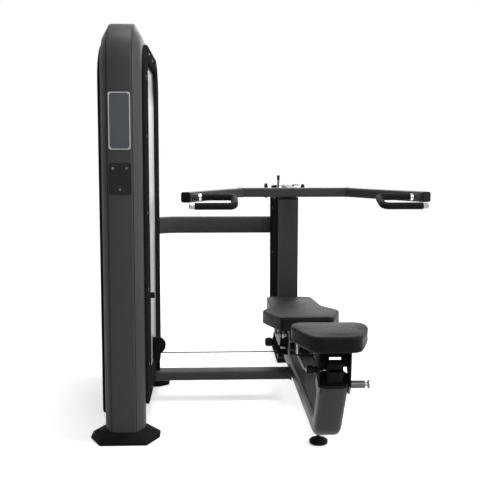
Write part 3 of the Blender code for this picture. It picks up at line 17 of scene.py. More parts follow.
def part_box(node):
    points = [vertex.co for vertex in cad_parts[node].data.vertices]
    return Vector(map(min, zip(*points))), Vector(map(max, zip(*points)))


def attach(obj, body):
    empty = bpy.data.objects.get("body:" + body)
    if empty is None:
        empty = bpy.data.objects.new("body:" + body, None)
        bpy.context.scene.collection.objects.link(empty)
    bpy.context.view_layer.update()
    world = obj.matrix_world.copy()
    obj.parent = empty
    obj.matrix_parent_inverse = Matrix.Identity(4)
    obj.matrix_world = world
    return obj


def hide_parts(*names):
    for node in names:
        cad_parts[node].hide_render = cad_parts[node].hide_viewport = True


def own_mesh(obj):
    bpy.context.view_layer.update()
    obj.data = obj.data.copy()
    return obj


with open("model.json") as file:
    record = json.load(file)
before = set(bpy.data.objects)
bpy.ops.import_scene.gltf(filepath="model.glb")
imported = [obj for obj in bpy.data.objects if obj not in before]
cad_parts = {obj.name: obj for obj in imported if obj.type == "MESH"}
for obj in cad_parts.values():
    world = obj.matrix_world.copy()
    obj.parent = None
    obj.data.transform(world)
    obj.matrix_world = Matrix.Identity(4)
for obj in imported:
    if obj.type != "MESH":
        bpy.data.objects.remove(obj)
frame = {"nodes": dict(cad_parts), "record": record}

LOG = logging.getLogger("press_machine")
Point = Sequence[float]
Pair = tuple[float, float]
Outline = tuple[Pair, ...]
Place = tuple[float, float, float]
Colour = tuple[float, float, float]
Piece = bpy.types.Object
Material = bpy.types.Material
Tree = bpy.types.NodeTree
Socket = bpy.types.NodeSocket

BENCH_X = 0.801  # the middle of the bench, the column and the arm
STACK_Y = 0.4195  # the middle of the weight stack
ROUND = 60.0  # the shading angle of beads and cushions, in degrees
SUNK = 0.0002  # how far a fitting is sunk into its surface, or stands off it
SIDES = (("left", -1), ("right", 1))
LEFT, RIGHT = (-1, 0, 0), (1, 0, 0)
NEAR, FAR = (0, -1, 0), (0, 1, 0)
DOWN, UP = (0, 0, -1), (0, 0, 1)


class Body(str, Enum):
    """The moving bodies that pieces ride on."""

    FRAME = "frame"
    STACK = "lifted_stack"
    TOP_WHEEL = "top_wheel"
    LOWER_WHEEL = "lower_wheel"
    BENCH_WHEEL = "bench_wheel"
    COLUMN_WHEEL = "column_wheel"
    DRIVE = "drive"
    ARM = "arm"
    LEVER = "lever"
    BACK = "back_rest"
    BACK_PIN = "back_pin"
    SEAT = "seat"
    SEAT_PIN = "seat_pin"


class Slot(str, Enum):
    """The record's material slots."""

    FRAME = "frame"
    PANEL = "panel"
    PLATE = "plate"
    CAST = "cast"
    STEEL = "steel"
    ZINC = "zinc"
    RUBBER = "rubber"
    PLASTIC = "plastic"
    PAD = "pad"
    CABLE = "cable"


# Shader effects shared by the finishes


class Graph:
    """A shader node tree with short calls to add and join nodes."""

    def __init__(self, tree: Tree) -> None:
        """Work on a tree."""
        self.tree = tree

    def add(self, kind: str, inputs: dict[str | int, object], **settings: object) -> bpy.types.Node:
        """Add a node.

        Args:
            kind: the node's type, without its ShaderNode prefix.
            inputs: sockets to join and plain values to set, by input.
            **settings: the node's own settings.

        Returns:
            The new node.
        """
        node = self.tree.nodes.new("ShaderNode" + kind)
        for label, value in settings.items():
            setattr(node, label, value)
        for key, value in inputs.items():
            if isinstance(value, Socket):
                self.tree.links.new(value, node.inputs[key])
            else:
                node.inputs[key].default_value = value
        return node

    def calc(self, operation: str, first: Socket, second: Socket | float, clamp: bool = False) -> Socket:
        """One step of arithmetic."""
        return self.add("Math", {0: first, 1: second}, operation=operation, use_clamp=clamp).outputs["Value"]


class Effect(Graph):
    """A shader node group with named number inputs and outputs."""

    def __init__(self, name: str, inputs: dict[str, float], outputs: Sequence[str]) -> None:
        """Start the group.

        Args:
            name: the group's name.
            inputs: number inputs and their defaults, added after the Vector input.
            outputs: number outputs.
        """
        super().__init__(bpy.data.node_groups.new(name, "ShaderNodeTree"))
        sockets = self.tree.interface
        sockets.new_socket("Vector", in_out="INPUT", socket_type="NodeSocketVector")
        for label, value in inputs.items():
            sockets.new_socket(label, in_out="INPUT", socket_type="NodeSocketFloat").default_value = value
        for label in outputs:
            sockets.new_socket(label, in_out="OUTPUT", socket_type="NodeSocketFloat")
        self.given = self.tree.nodes.new("NodeGroupInput").outputs
        self.result = self.tree.nodes.new("NodeGroupOutput").inputs

    def pick(self, *labels: str) -> dict[str, Socket]:
        """The group's own inputs, for nodes that name theirs alike."""
        return {label: self.given[label] for label in labels}

    def give(self, **sockets: Socket) -> Tree:
        """Join the group's outputs.

        Args:
            **sockets: the socket for each output.

        Returns:
            The group's tree.
        """
        for label, socket in sockets.items():
            self.tree.links.new(socket, self.result[label])
        return self.tree


def noise_effect() -> Tree:
    """Soft cloudy variation: a height for bumps and a mask for colour and gloss.

    Returns:
        The effect's node group.
    """
    net = Effect("soft_variation", {"Scale": 20.0, "Detail": 3.0, "Low": 0.35, "High": 0.65}, ("Height", "Mask"))
    noise = net.add("TexNoise", net.pick("Vector", "Scale", "Detail")).outputs["Fac"]
    spread = net.add("MapRange", {"Value": noise, "From Min": net.given["Low"], "From Max": net.given["High"]})
    return net.give(Height=noise, Mask=spread.outputs["Result"])


def pebble_effect() -> Tree:
    """Coated-fabric grain: rounded pebbles between fine creases.

    Returns:
        The effect's node group.
    """
    net = Effect("pebble_grain", {"Scale": 420.0, "Crease": 0.12}, ("Height", "Mask"))
    warp = net.add("TexNoise", {**net.pick("Vector"), "Scale": 60.0})
    shift = net.add("VectorMath", {0: warp.outputs["Color"], 1: (0.004, 0.004, 0.004), 2: net.given["Vector"]},
                    operation="MULTIPLY_ADD")
    cells = net.add("TexVoronoi", {"Vector": shift.outputs["Vector"], **net.pick("Scale")}, feature="DISTANCE_TO_EDGE")
    pebble = net.add("MapRange", {"Value": cells.outputs["Distance"], "From Max": net.given["Crease"]},
                     interpolation_type="SMOOTHSTEP").outputs["Result"]
    return net.give(Height=pebble, Mask=pebble)


def edge_wear_highlight_effect() -> Tree:
    """Rubbed edges that are also a painted edge highlight: where the rounded and the true normal differ, broken up by
    noise.

    Returns:
        The effect's node group.
    """
    net = Effect("edge_wear_and_highlight", {"Radius": 0.0015, "Scale": 60.0, "Amount": 0.5}, ("Mask",))
    rounded = net.add("Bevel", net.pick("Radius"), samples=4).outputs["Normal"]
    surface = net.add("NewGeometry", {}).outputs["Normal"]
    facing = net.add("VectorMath", {0: rounded, 1: surface}, operation="DOT_PRODUCT").outputs["Value"]
    spread = net.add("MapRange", {"Value": facing, "From Min": 0.995, "From Max": 0.86})
    noise = net.add("TexNoise", {**net.pick("Vector", "Scale"), "Detail": 5.0})
    broken = net.calc("MULTIPLY", spread.outputs["Result"], noise.outputs["Fac"])
    return net.give(Mask=net.calc("MULTIPLY", broken, net.given["Amount"], clamp=True))


def brushed_effect() -> Tree:
    """Fine lines drawn along one direction, as on rolled or brushed metal.

    Returns:
        The effect's node group.
    """
    net = Effect("brushed_lines", {"Scale": 300.0, "Stretch": 0.04}, ("Height", "Mask"))
    place = net.add("SeparateXYZ", net.pick("Vector")).outputs
    drawn = net.calc("MULTIPLY", place["Y"], net.given["Stretch"])
    stretched = net.add("CombineXYZ", {"X": place["X"], "Y": drawn, "Z": place["Z"]}).outputs["Vector"]
    noise = net.add("TexNoise", {"Vector": stretched, **net.pick("Scale"), "Detail": 2.0}).outputs["Fac"]
    return net.give(Height=noise, Mask=noise)


def fleck_effect() -> Tree:
    """Tiny bright flakes, as in a metallic powder coat.

    Returns:
        The effect's node group.
    """
    net = Effect("metal_flecks", {"Scale": 900.0, "Amount": 0.35}, ("Mask",))
    cells = net.add("TexVoronoi", net.pick("Vector", "Scale"))
    draw = net.add("SeparateColor", {"Color": cells.outputs["Color"]}).outputs["Red"]
    spread = net.add("MapRange", {"Value": draw, "From Min": 0.72})
    return net.give(Mask=net.calc("MULTIPLY", spread.outputs["Result"], net.given["Amount"]))


def rib_effect() -> Tree:
    """Fine rings along the object's X axis, as round a moulded grip.

    Returns:
        The effect's node group.
    """
    net = Effect("moulded_rings", {"Pitch": 0.004, "Depth": 1.0}, ("Height",))
    along = net.add("SeparateXYZ", net.pick("Vector")).outputs["X"]
    wave = net.calc("PINGPONG", net.calc("DIVIDE", along, net.given["Pitch"]), 0.5)
    return net.give(Height=net.calc("MULTIPLY", wave, net.given["Depth"]))


EFFECTS: dict[str, Tree] = {
    "variation": noise_effect(),
    "pebbles": pebble_effect(),
    "edge_wear_highlight": edge_wear_highlight_effect(),
    "brushed": brushed_effect(),
    "flecks": fleck_effect(),
    "rings": rib_effect(),
}


@dataclass(frozen=True)
class Layer:
    """A shared effect with its own values."""

    effect: str
    values: dict[str, float]


def clouds(scale: float, detail: float = 3.0, low: float = 0.35, high: float = 0.65) -> Layer:
    """A layer of soft variation."""
    return Layer("variation", {"Scale": scale, "Detail": detail, "Low": low, "High": high})


def lines(scale: float, stretch: float) -> Layer:
    """A layer of brushed lines."""
    return Layer("brushed", {"Scale": scale, "Stretch": stretch})


def rubbing_and_highlight(radius: float, scale: float, amount: float) -> Layer:
    """A layer of worn edges that also paints edge highlights."""
    return Layer("edge_wear_highlight", {"Radius": radius, "Scale": scale, "Amount": amount})


class Sheet(Graph):
    """A Principled material that reads the shared effects at Object coordinates."""

    def __init__(self, name: str, roughness: float, metallic: float = 0.0, gloss: float = 0.5) -> None:
        """Start the material.

        Args:
            name: the material's name.
            roughness: the plain roughness, until a mask drives it.
            metallic: the plain metallic value.
            gloss: the specular level.
        """
        self.material = bpy.data.materials.new(name)
        self.material.use_nodes = True
        super().__init__(self.material.node_tree)
        self.shader = self.tree.nodes["Principled BSDF"]
        self.shader.inputs["Roughness"].default_value = roughness
        self.shader.inputs["Metallic"].default_value = metallic
        self.shader.inputs["Specular IOR Level"].default_value = gloss
        self.coords = self.add("TexCoord", {}).outputs["Object"]

    def effect(self, layer: Layer) -> bpy.types.NodeOutputs:
        """Place a shared effect and hand over its outputs."""
        return self.add("Group", {"Vector": self.coords, **layer.values}, node_tree=EFFECTS[layer.effect]).outputs

    def tint(self, mask: Socket, low: Colour | Socket, high: Colour) -> Socket:
        """Mix from one colour, or an earlier mix, to another by a mask."""
        start = low if isinstance(low, Socket) else (*low, 1.0)
        return self.add("Mix", {"Factor": mask, "A": start, "B": (*high, 1.0)}, data_type="RGBA").outputs["Result"]

    def span(self, mask: Socket, low: float, high: float) -> Socket:
        """Spread a mask between two numbers."""
        return self.add("MapRange", {"Value": mask, "To Min": low, "To Max": high}).outputs["Result"]

    def bump(self, height: Socket, strength: float, depth: float, under: Socket | None = None) -> Socket:
        """Turn a height into a normal.

        Args:
            height: the height socket.
            strength: how much of the bump shows.
            depth: its depth in metres.
            under: the normal of a bump that lies below this one.

        Returns:
            The bumped normal.
        """
        below = {} if under is None else {"Normal": under}
        return self.add("Bump", {"Height": height, "Strength": strength, "Distance": depth, **below}).outputs["Normal"]

    def wire(self, socket: Socket, label: str) -> None:
        """Join a socket to an input of the shader."""
        self.tree.links.new(socket, self.shader.inputs[label])


# Finishes


@dataclass(frozen=True)
class Grain:
    """A fine relief: its layer, how much of it shows and its depth in metres."""

    layer: Layer
    strength: float
    depth: float


@dataclass(frozen=True)
class Finish:
    """A coated, plated, moulded or covered surface.

    Attributes:
        name: the material's name.
        colour: the main colour.
        second: the colour that the mottle brings in.
        roughness: the plain roughness.
        swing: how far the haze moves the roughness, at zero and at one.
        mottle: the layer between the two colours.
        grains: the reliefs, from the lowest up.
        haze: the layer that moves the roughness, or None for the mottle.
        wear_and_highlight: the layer that brings in the wear colour, which on edges is also a painted highlight, or
            None.
        wear_highlight_colour: the colour of rubbed places and of painted edge highlights.
        share: how much of that colour shows at most.
        gloss: the specular level.
        metallic: the metallic value.
        sheen: the weight of a fabric's sheen.
    """

    name: str
    colour: Colour
    second: Colour
    roughness: float
    swing: Pair
    mottle: Layer
    grains: tuple[Grain, ...]
    haze: Layer | None = None
    wear_and_highlight: Layer | None = None
    wear_highlight_colour: Colour = (0.0, 0.0, 0.0)
    share: float = 1.0
    gloss: float = 0.5
    metallic: float = 0.0
    sheen: float = 0.0

    def build(self) -> Material:
        """Build the finish's material.

        Returns:
            The new material.
        """
        sheet = Sheet(self.name, self.roughness, self.metallic, self.gloss)
        if self.sheen:
            sheet.shader.inputs["Sheen Weight"].default_value = self.sheen
            sheet.shader.inputs["Sheen Roughness"].default_value = 0.5
        mottle = sheet.effect(self.mottle)["Mask"]
        haze = sheet.effect(self.haze)["Mask"] if self.haze else mottle
        body = sheet.tint(mottle, self.colour, self.second)
        # Wear, and on edges a painted highlight, lightens the colour here.
        if self.wear_and_highlight:
            mask = sheet.effect(self.wear_and_highlight)["Mask"]
            body = sheet.tint(mask if self.share == 1.0 else sheet.span(mask, 0.0, self.share), body, self.wear_highlight_colour)
        sheet.wire(body, "Base Color")
        low, high = (self.roughness + move for move in self.swing)
        sheet.wire(sheet.span(haze, low, high), "Roughness")
        normal = None
        for grain in self.grains:
            normal = sheet.bump(sheet.effect(grain.layer)["Height"], grain.strength, grain.depth, normal)
        sheet.wire(normal, "Normal")
        return sheet.material


@dataclass(frozen=True)
class PalePanel:
    """Pale plastic sheet, brightest over the upper window, darker towards the bottom, with painted shade along its top
    and faint sheet haze.
    """

    name: str
    low_z: float = 0.55
    high_z: float = 1.50
    foot: Colour = (0.34, 0.345, 0.35)
    # top: the colour at high_z, painted shade along the window's top
    top: Colour = (0.12, 0.122, 0.125)
    haze: Colour = (0.75, 0.76, 0.78)
    levels: Outline = ((0.20, 0.36), (0.30, 0.55), (0.90, 0.57))

    def build(self) -> Material:
        """Build the panel's material.

        Returns:
            The new material.
        """
        sheet = Sheet(self.name, 0.5, 0.0, 0.3)
        height = sheet.add("SeparateXYZ", {"Vector": sheet.coords}).outputs["Z"]
        place = sheet.add("MapRange", {"Value": height, "From Min": self.low_z, "From Max": self.high_z})
        ramp = sheet.add("ValToRGB", {"Fac": place.outputs["Result"]})
        steps = ramp.color_ramp.elements
        steps[0].position, steps[0].color = 0.0, (*self.foot, 1)
        # The top step of the ramp is painted shade.
        steps[1].position, steps[1].color = 1.0, (*self.top, 1)
        for position, level in self.levels:
            steps.new(position).color = (level, level, level * 1.01, 1)
        haze = sheet.effect(clouds(9.0, low=0.2, high=0.8))["Mask"]
        mix = {"Factor": sheet.span(haze, 0.0, 0.12), "A": ramp.outputs["Color"], "B": (*self.haze, 1)}
        dim = sheet.add("Mix", mix, data_type="RGBA", blend_type="MULTIPLY")
        sheet.wire(dim.outputs["Result"], "Base Color")
        sheet.wire(sheet.span(haze, 0.36, 0.5), "Roughness")
        sheet.wire(sheet.bump(sheet.effect(clouds(400.0, 1.0))["Height"], 0.15, 0.0002), "Normal")
        return sheet.material


POWDER_COAT = Finish(
    "charcoal_coat", (0.033, 0.0335, 0.035), (0.085, 0.085, 0.09), 0.36, (-0.04, 0.07),
    mottle=Layer("flecks", {"Scale": 1100.0, "Amount": 0.45}), grains=(Grain(clouds(520.0, 1.0), 0.25, 0.0003),),
    haze=clouds(7.0, low=0.3, high=0.7), wear_and_highlight=rubbing_and_highlight(0.002, 45.0, 0.55), wear_highlight_colour=(0.09, 0.09, 0.095), gloss=0.07)
MOULDED_PLASTIC = Finish(
    "black_moulding", (0.0045, 0.0045, 0.005), (0.008, 0.008, 0.0085), 0.40, (-0.05, 0.1),
    mottle=clouds(5.0, low=0.35, high=0.75), grains=(Grain(clouds(700.0, 2.0), 0.35, 0.0002),),
    wear_and_highlight=rubbing_and_highlight(0.0012, 60.0, 0.4), wear_highlight_colour=(0.035, 0.035, 0.035), gloss=0.06)
ROLLED_METAL = Finish(
    "zinc_sheet", (0.34, 0.345, 0.35), (0.22, 0.225, 0.235), 0.34, (-0.06, 0.12),
    mottle=clouds(22.0, 4.0, 0.35, 0.7), grains=(Grain(lines(420.0, 0.05), 0.2, 0.0002),),
    wear_and_highlight=rubbing_and_highlight(0.001, 90.0, 0.6), wear_highlight_colour=(0.6, 0.6, 0.6), metallic=0.85)
CAST_PAINT = Finish(
    "black_casting", (0.0075, 0.0075, 0.008), (0.014, 0.014, 0.0145), 0.60, (-0.07, 0.12),
    mottle=clouds(14.0, 5.0, 0.45, 0.8), grains=(Grain(clouds(160.0, 4.0, 0.3, 0.7), 0.45, 0.0005),),
    haze=clouds(160.0, 4.0, 0.3, 0.7), wear_and_highlight=rubbing_and_highlight(0.0015, 70.0, 0.6), wear_highlight_colour=(0.056, 0.056, 0.058), gloss=0.02)
SOFT_RUBBER = Finish(
    "matt_rubber", (0.0045, 0.0045, 0.005), (0.009, 0.009, 0.0095), 0.62, (-0.08, 0.1),
    mottle=clouds(30.0, 4.0, 0.45, 0.8), grains=(Grain(clouds(900.0, 2.0), 0.4, 0.0003),), gloss=0.06)
COATED_FABRIC = Finish(
    "pad_vinyl", (0.004, 0.004, 0.0042), (0.0075, 0.0075, 0.008), 0.40, (0.06, -0.08),
    mottle=Layer("pebbles", {"Scale": 560.0, "Crease": 0.14}),
    grains=(Grain(clouds(11.0, 3.0, 0.3, 0.7), 0.25, 0.004),
            Grain(Layer("pebbles", {"Scale": 560.0, "Crease": 0.14}), 0.4, 0.0004)),
    haze=clouds(4.0, 2.0, 0.4, 0.75), wear_and_highlight=clouds(4.0, 2.0, 0.4, 0.75), wear_highlight_colour=(0.012, 0.012, 0.0125), share=0.5,
    gloss=0.048, sheen=0.02)
PLATE_ENAMEL = Finish(
    "slate_enamel", (0.026, 0.032, 0.042), (0.034, 0.041, 0.052), 0.4, (-0.06, 0.08),
    mottle=clouds(12.0, 4.0, 0.3, 0.75), grains=(Grain(clouds(600.0, 1.0), 0.2, 0.0002),))


class Paint(Enum):
    """Every finish, by use."""

    COAT = POWDER_COAT
    # A lighter copy of the charcoal coat; on the lower rail its lightness is a painted highlight along the rail's top.
    TOWER_LIT = replace(POWDER_COAT, name="tower_coat_lit", colour=(0.049, 0.0495, 0.051), second=(0.11, 0.11, 0.115),
                    wear_highlight_colour=(0.13, 0.13, 0.135), roughness=0.42, gloss=0.05)
    # A darker copy of the charcoal coat: painted shade on the web's left side, which faces away from the light.
    WEB_SHADED = replace(POWDER_COAT, name="web_coat_shaded", colour=(0.019, 0.0193, 0.020), second=(0.05, 0.05, 0.052),
                  wear_highlight_colour=(0.08, 0.08, 0.085), roughness=0.5, gloss=0.015)
    STEEL = replace(ROLLED_METAL, name="turned_steel", colour=(0.34, 0.34, 0.345), second=(0.22, 0.22, 0.225),
                    roughness=0.28)
    SHROUD = replace(MOULDED_PLASTIC, name="shroud_moulding", colour=(0.013, 0.013, 0.0135),
                     second=(0.018, 0.018, 0.0185), roughness=0.88, gloss=0.0,
                     grains=(Grain(clouds(500.0, 2.0), 0.35, 0.0002),))
    PANEL = PalePanel("window_sheet")
    ENAMEL = PLATE_ENAMEL
    BORDER = replace(PLATE_ENAMEL, name="pale_border", colour=(0.62, 0.63, 0.64), second=(0.52, 0.53, 0.54),
                     roughness=0.35)
    CAST = CAST_PAINT
    COVER = replace(MOULDED_PLASTIC, name="plate_moulding", colour=(0.017, 0.017, 0.018),
                    second=(0.021, 0.021, 0.022), roughness=0.5, gloss=0.08,
                    grains=(Grain(clouds(600.0, 2.0), 0.35, 0.0002),))
    WEIGHT = replace(CAST_PAINT, name="grey_plate_paint", colour=(0.15, 0.155, 0.16), second=(0.19, 0.195, 0.20),
                     wear_highlight_colour=(0.76, 0.78, 0.80), roughness=0.42, gloss=0.5, haze=clouds(220.0, 4.0, 0.3, 0.7),
                     grains=(Grain(clouds(220.0, 4.0, 0.3, 0.7), 0.45, 0.0005),))
    CHROME = Finish("chrome_plate", (0.62, 0.62, 0.63), (0.50, 0.50, 0.51), 0.10, (0.0, 0.14),
                    mottle=clouds(28.0, 6.0, 0.4, 0.7), grains=(Grain(lines(700.0, 0.06), 0.06, 0.0002),), metallic=1.0)
    ZINC = ROLLED_METAL
    DARK_ZINC = replace(ROLLED_METAL, name="dark_zinc_sheet", colour=(0.12, 0.122, 0.126),
                        second=(0.07, 0.072, 0.075), roughness=0.36)
    BOLT = replace(ROLLED_METAL, name="blackened_bolt", colour=(0.06, 0.06, 0.063), second=(0.03, 0.03, 0.032),
                   roughness=0.3)
    RUBBER = SOFT_RUBBER
    GRIP = replace(SOFT_RUBBER, name="ribbed_grip", grains=(
        *SOFT_RUBBER.grains, Grain(Layer("rings", {"Pitch": 0.0045, "Depth": 1.0}), 0.5, 0.0008)))
    PLASTIC = MOULDED_PLASTIC
    VINYL = COATED_FABRIC
    WELT = replace(COATED_FABRIC, name="welt_vinyl", colour=(0.006, 0.006, 0.0065), second=(0.010, 0.010, 0.011),
                   wear_highlight_colour=(0.014, 0.014, 0.015), roughness=0.5)
    CABLE = Finish("cable_coat", (0.006, 0.006, 0.006), (0.03, 0.03, 0.03), 0.4, (-0.18, 0.02),
                   mottle=clouds(40.0, low=0.3, high=0.8), grains=(Grain(lines(260.0, 0.7), 0.35, 0.0004),), gloss=0.05)

    @property
    def material(self) -> Material:
        """The finish's material, built at its first use."""
        return mixed(self)


@cache
def mixed(paint: Paint) -> Material:
    """Build a finish once."""
    return paint.value.build()


# Modelling by operator


def deselect() -> None:
    """Leave edit mode and let go of everything."""
    if bpy.context.mode != "OBJECT":
        bpy.ops.object.mode_set(mode="OBJECT")
    bpy.ops.object.select_all(action="DESELECT")


def take(piece: Piece) -> None:
    """Select one object and make it active.

    Args:
        piece: the object to work on.
    """
    deselect()
    piece.select_set(True)
    bpy.context.view_layer.objects.active = piece


@contextmanager
def editing(piece: Piece, action: str = "SELECT") -> Iterator[None]:
    """Edit mode on a piece, with everything or nothing selected.

    Args:
        piece: the mesh object to edit.
        action: SELECT or DESELECT, for all of its points.

    Yields:
        Nothing, while the piece is in edit mode.
    """
    take(piece)
    bpy.ops.object.mode_set(mode="EDIT")
    bpy.ops.mesh.select_all(action=action)
    yield
    bpy.ops.object.mode_set(mode="OBJECT")


def pick_faces(piece: Piece, test: Callable[[Vector], bool]) -> None:
    """Select the faces whose normal passes a test, in edit mode.

    Args:
        piece: the mesh in edit mode.
        test: says of a normal whether its face is wanted.
    """
    shape = bmesh.from_edit_mesh(piece.data)
    for face in shape.faces:
        face.select_set(test(face.normal))
    shape.select_flush_mode()
    bmesh.update_edit_mesh(piece.data)


def settle(piece: Piece, smooth: float = 35.0) -> Piece:
    """Put the place into the mesh and shade it.

    Args:
        piece: the object to finish.
        smooth: the angle in degrees below which edges are smooth.

    Returns:
        The same object, at the origin.
    """
    take(piece)
    bpy.ops.object.transform_apply(location=True, rotation=True, scale=True)
    bpy.ops.object.shade_smooth_by_angle(angle=math.radians(smooth))
    return piece


def modified(piece: Piece, kind: str, **settings: object) -> Piece:
    """Apply a modifier.

    Args:
        piece: the object that it changes.
        kind: the modifier's type.
        **settings: its own settings.

    Returns:
        The same object.
    """
    take(piece)
    step = piece.modifiers.new(kind.lower(), kind)
    for label, value in settings.items():
        setattr(step, label, value)
    bpy.ops.object.modifier_apply(modifier=step.name)
    return piece


def bevelled(piece: Piece, width: float, segments: int = 2) -> Piece:
    """Ease the sharp edges."""
    return modified(piece, "BEVEL", width=width, segments=segments, limit_method="ANGLE")


def dressed(piece: Piece, paint: Paint = Paint.COAT, body: Body = Body.FRAME) -> Piece:
    """Give a piece its finish and the body it rides on.

    Args:
        piece: the finished mesh.
        paint: its finish.
        body: the body that carries it.

    Returns:
        The same object.
    """
    piece.data.materials.clear()
    piece.data.materials.append(paint.material)
    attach(piece, body.value)
    return piece


def linked(name: str, data: bpy.types.ID) -> Piece:
    """Put a new object into the scene.

    Args:
        name: the object's name.
        data: its mesh, curve, light or camera.

    Returns:
        The new object.
    """
    piece = bpy.data.objects.new(name, data)
    bpy.context.scene.collection.objects.link(piece)
    return piece


def merged_copy(node: str, name: str, near: float = 0.00002, flat: float = 0.0) -> Piece:
    """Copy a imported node's mesh and join its loose triangles at their corners.

    Args:
        node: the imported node.
        name: the copy's name.
        near: how near two corners are one.
        flat: the angle below which triangles become whole faces, if any.

    Returns:
        The copy.
    """
    piece = linked(name, frame["nodes"][node].data.copy())
    with editing(piece):
        bpy.ops.mesh.remove_doubles(threshold=near)
        if flat:
            bpy.ops.mesh.dissolve_limited(angle_limit=flat)
    return piece


def primitive(add: Callable[..., object], name: str, **settings: object) -> Piece:
    """Add a primitive.

    Args:
        add: the operator that adds it.
        name: the piece's name.
        **settings: the operator's settings.

    Returns:
        The new mesh object.
    """
    deselect()
    add(**settings)
    piece = bpy.context.object
    piece.name = name
    return piece


def torus(name: str, major: float, minor: float, around: int, across: int = 6) -> Piece:
    """A ring about the origin, with the points round it and across it."""
    return primitive(bpy.ops.mesh.primitive_torus_add, name, major_radius=major, minor_radius=minor,
                     major_segments=around, minor_segments=across)


def turned(name: str, profile: Sequence[Pair], sides: int = 20) -> Piece:
    """Turn a solid along +Z by extruding and resizing a disc.

    Args:
        name: the piece's name.
        profile: (radius, height) steps from the foot to the top.
        sides: points round the disc.

    Returns:
        The turned solid, standing on the origin.
    """
    radius, height = profile[0]
    piece = primitive(bpy.ops.mesh.primitive_circle_add, name, vertices=sides, radius=radius, fill_type="NGON",
                      location=(0, 0, height))
    bpy.ops.object.transform_apply(location=True, rotation=True, scale=True)
    with editing(piece):
        for step, level in profile[1:]:
            bpy.ops.mesh.extrude_region_move(TRANSFORM_OT_translate={"value": (0, 0, level - height)})
            grow = step / radius
            if abs(grow - 1.0) > 1e-6:
                bpy.ops.transform.resize(value=(grow, grow, 1.0), center_override=(0, 0, level))
            radius, height = step, level
        bpy.ops.mesh.select_all(action="SELECT")
        bpy.ops.mesh.normals_make_consistent(inside=False)
    return piece


def screw(name: str, radius: float, height: float) -> Piece:
    """A domed screw head with a six-sided socket.

    Args:
        name: the piece's name.
        radius: the head's radius.
        height: the dome's height.

    Returns:
        The head, standing on the origin.
    """
    profile = [(radius, -0.0004), (radius, height * 0.35), (radius * 0.9, height * 0.72), (radius * 0.62, height)]
    piece = turned(name, profile)
    cutter = primitive(bpy.ops.mesh.primitive_cylinder_add, "socket", vertices=6, radius=radius * 0.42, depth=height,
                       location=(0, 0, height))
    modified(piece, "BOOLEAN", operation="DIFFERENCE", solver="EXACT", object=cutter)
    bpy.data.objects.remove(cutter, do_unlink=True)
    return piece


def bolt(name: str, radius: float, height: float) -> Piece:
    """A six-sided head on a round washer.

    Args:
        name: the piece's name.
        radius: the head's radius over its corners.
        height: the height of head and washer.

    Returns:
        The bolt, standing on the origin.
    """
    washer = turned(name, [(radius * 1.45, -0.0004), (radius * 1.45, height * 0.22), (radius * 1.35, height * 0.3)], 24)
    head = primitive(bpy.ops.mesh.primitive_cylinder_add, "head", vertices=6, radius=radius, depth=height * 0.75,
                     location=(0, 0, height * 0.62))
    with editing(head, "DESELECT"):
        pick_faces(head, lambda normal: normal.z > 0.9)
        bpy.ops.mesh.inset(thickness=radius * 0.14, depth=height * 0.1)
        bpy.ops.mesh.inset(thickness=radius * 0.3, depth=-height * 0.08)
    bevelled(head, radius * 0.06, 1)
    take(washer)
    head.select_set(True)
    bpy.ops.object.join()
    return washer


def ring(name: str, major: float, minor: float, around: int, squeeze: float) -> Piece:
    """A fine ring, a little flatter than round.

    Args:
        name: the piece's name.
        major: the ring's radius.
        minor: the radius of its section.
        around: points round the ring.
        squeeze: its height as a share of a round section's.

    Returns:
        The ring, lying on the origin.
    """
    piece = torus(name, major, minor, around)
    with editing(piece):
        bpy.ops.transform.resize(value=(1.0, 1.0, squeeze), center_override=(0, 0, 0))
    return piece


def aim(place: Point, direction: Point, spin: float = 0.0) -> Matrix:
    """The matrix that stands a piece at a place along a direction."""
    turn = Vector((0, 0, 1)).rotation_difference(Vector(direction)).to_matrix().to_4x4()
    return Matrix.Translation(Vector(place)) @ turn @ Matrix.Rotation(spin, 4, "Z")


def placed(master: Piece, spots: Iterable[Matrix], paint: Paint = Paint.BOLT,
           body: Body = Body.FRAME) -> None:
    """Copy a master to each spot, each copy with its own mesh, and drop the master.

    Args:
        master: the modelled piece, standing on the origin, with the copies' common name.
        spots: where each copy goes.
        paint: their finish.
        body: the body that carries them.
    """
    settle(master)
    for number, spot in enumerate(spots, 1):
        mesh = master.data.copy()
        mesh.transform(spot)
        dressed(linked(f"{master.name}_{number}", mesh), paint, body)
    bpy.data.objects.remove(master, do_unlink=True)


def bead(name: str, points: Sequence[Point], radius: float) -> Piece:
    """A round bead along points that close on themselves.

    Args:
        name: the piece's name.
        points: the loop's points.
        radius: the bead's radius.

    Returns:
        The bead as a mesh.
    """
    curve = bpy.data.curves.new(name, "CURVE")
    curve.dimensions = "3D"
    curve.bevel_depth = radius
    curve.bevel_resolution = 2
    curve.use_fill_caps = False
    spline = curve.splines.new("POLY")
    spline.points.add(len(points) - 1)
    for knot, point in zip(spline.points, points):
        knot.co = (*point, 1.0)
    spline.use_cyclic_u = True
    take(linked(name, curve))
    bpy.ops.object.convert(target="MESH")
    return settle(bpy.context.object, ROUND)


def cut_line(source: Piece, name: str, place: Point, normal: Point, radius: float, sides: int) -> Piece:
    """A round bead where a plane cuts a surface.

    Args:
        source: the object with the surface.
        name: the bead's name.
        place: a point of the plane.
        normal: the plane's normal.
        radius: the bead's radius.
        sides: its bevel resolution.

    Returns:
        The bead as a mesh.
    """
    line = linked(name, source.data.copy())
    with editing(line):
        bpy.ops.mesh.bisect(plane_co=place, plane_no=normal, clear_inner=True, clear_outer=True)
    take(line)
    bpy.ops.object.convert(target="CURVE")
    curve = bpy.context.object.data
    curve.bevel_depth = radius
    curve.bevel_resolution = sides
    bpy.ops.object.convert(target="MESH")
    line = settle(bpy.context.object, ROUND)
    line.name = name
    return line


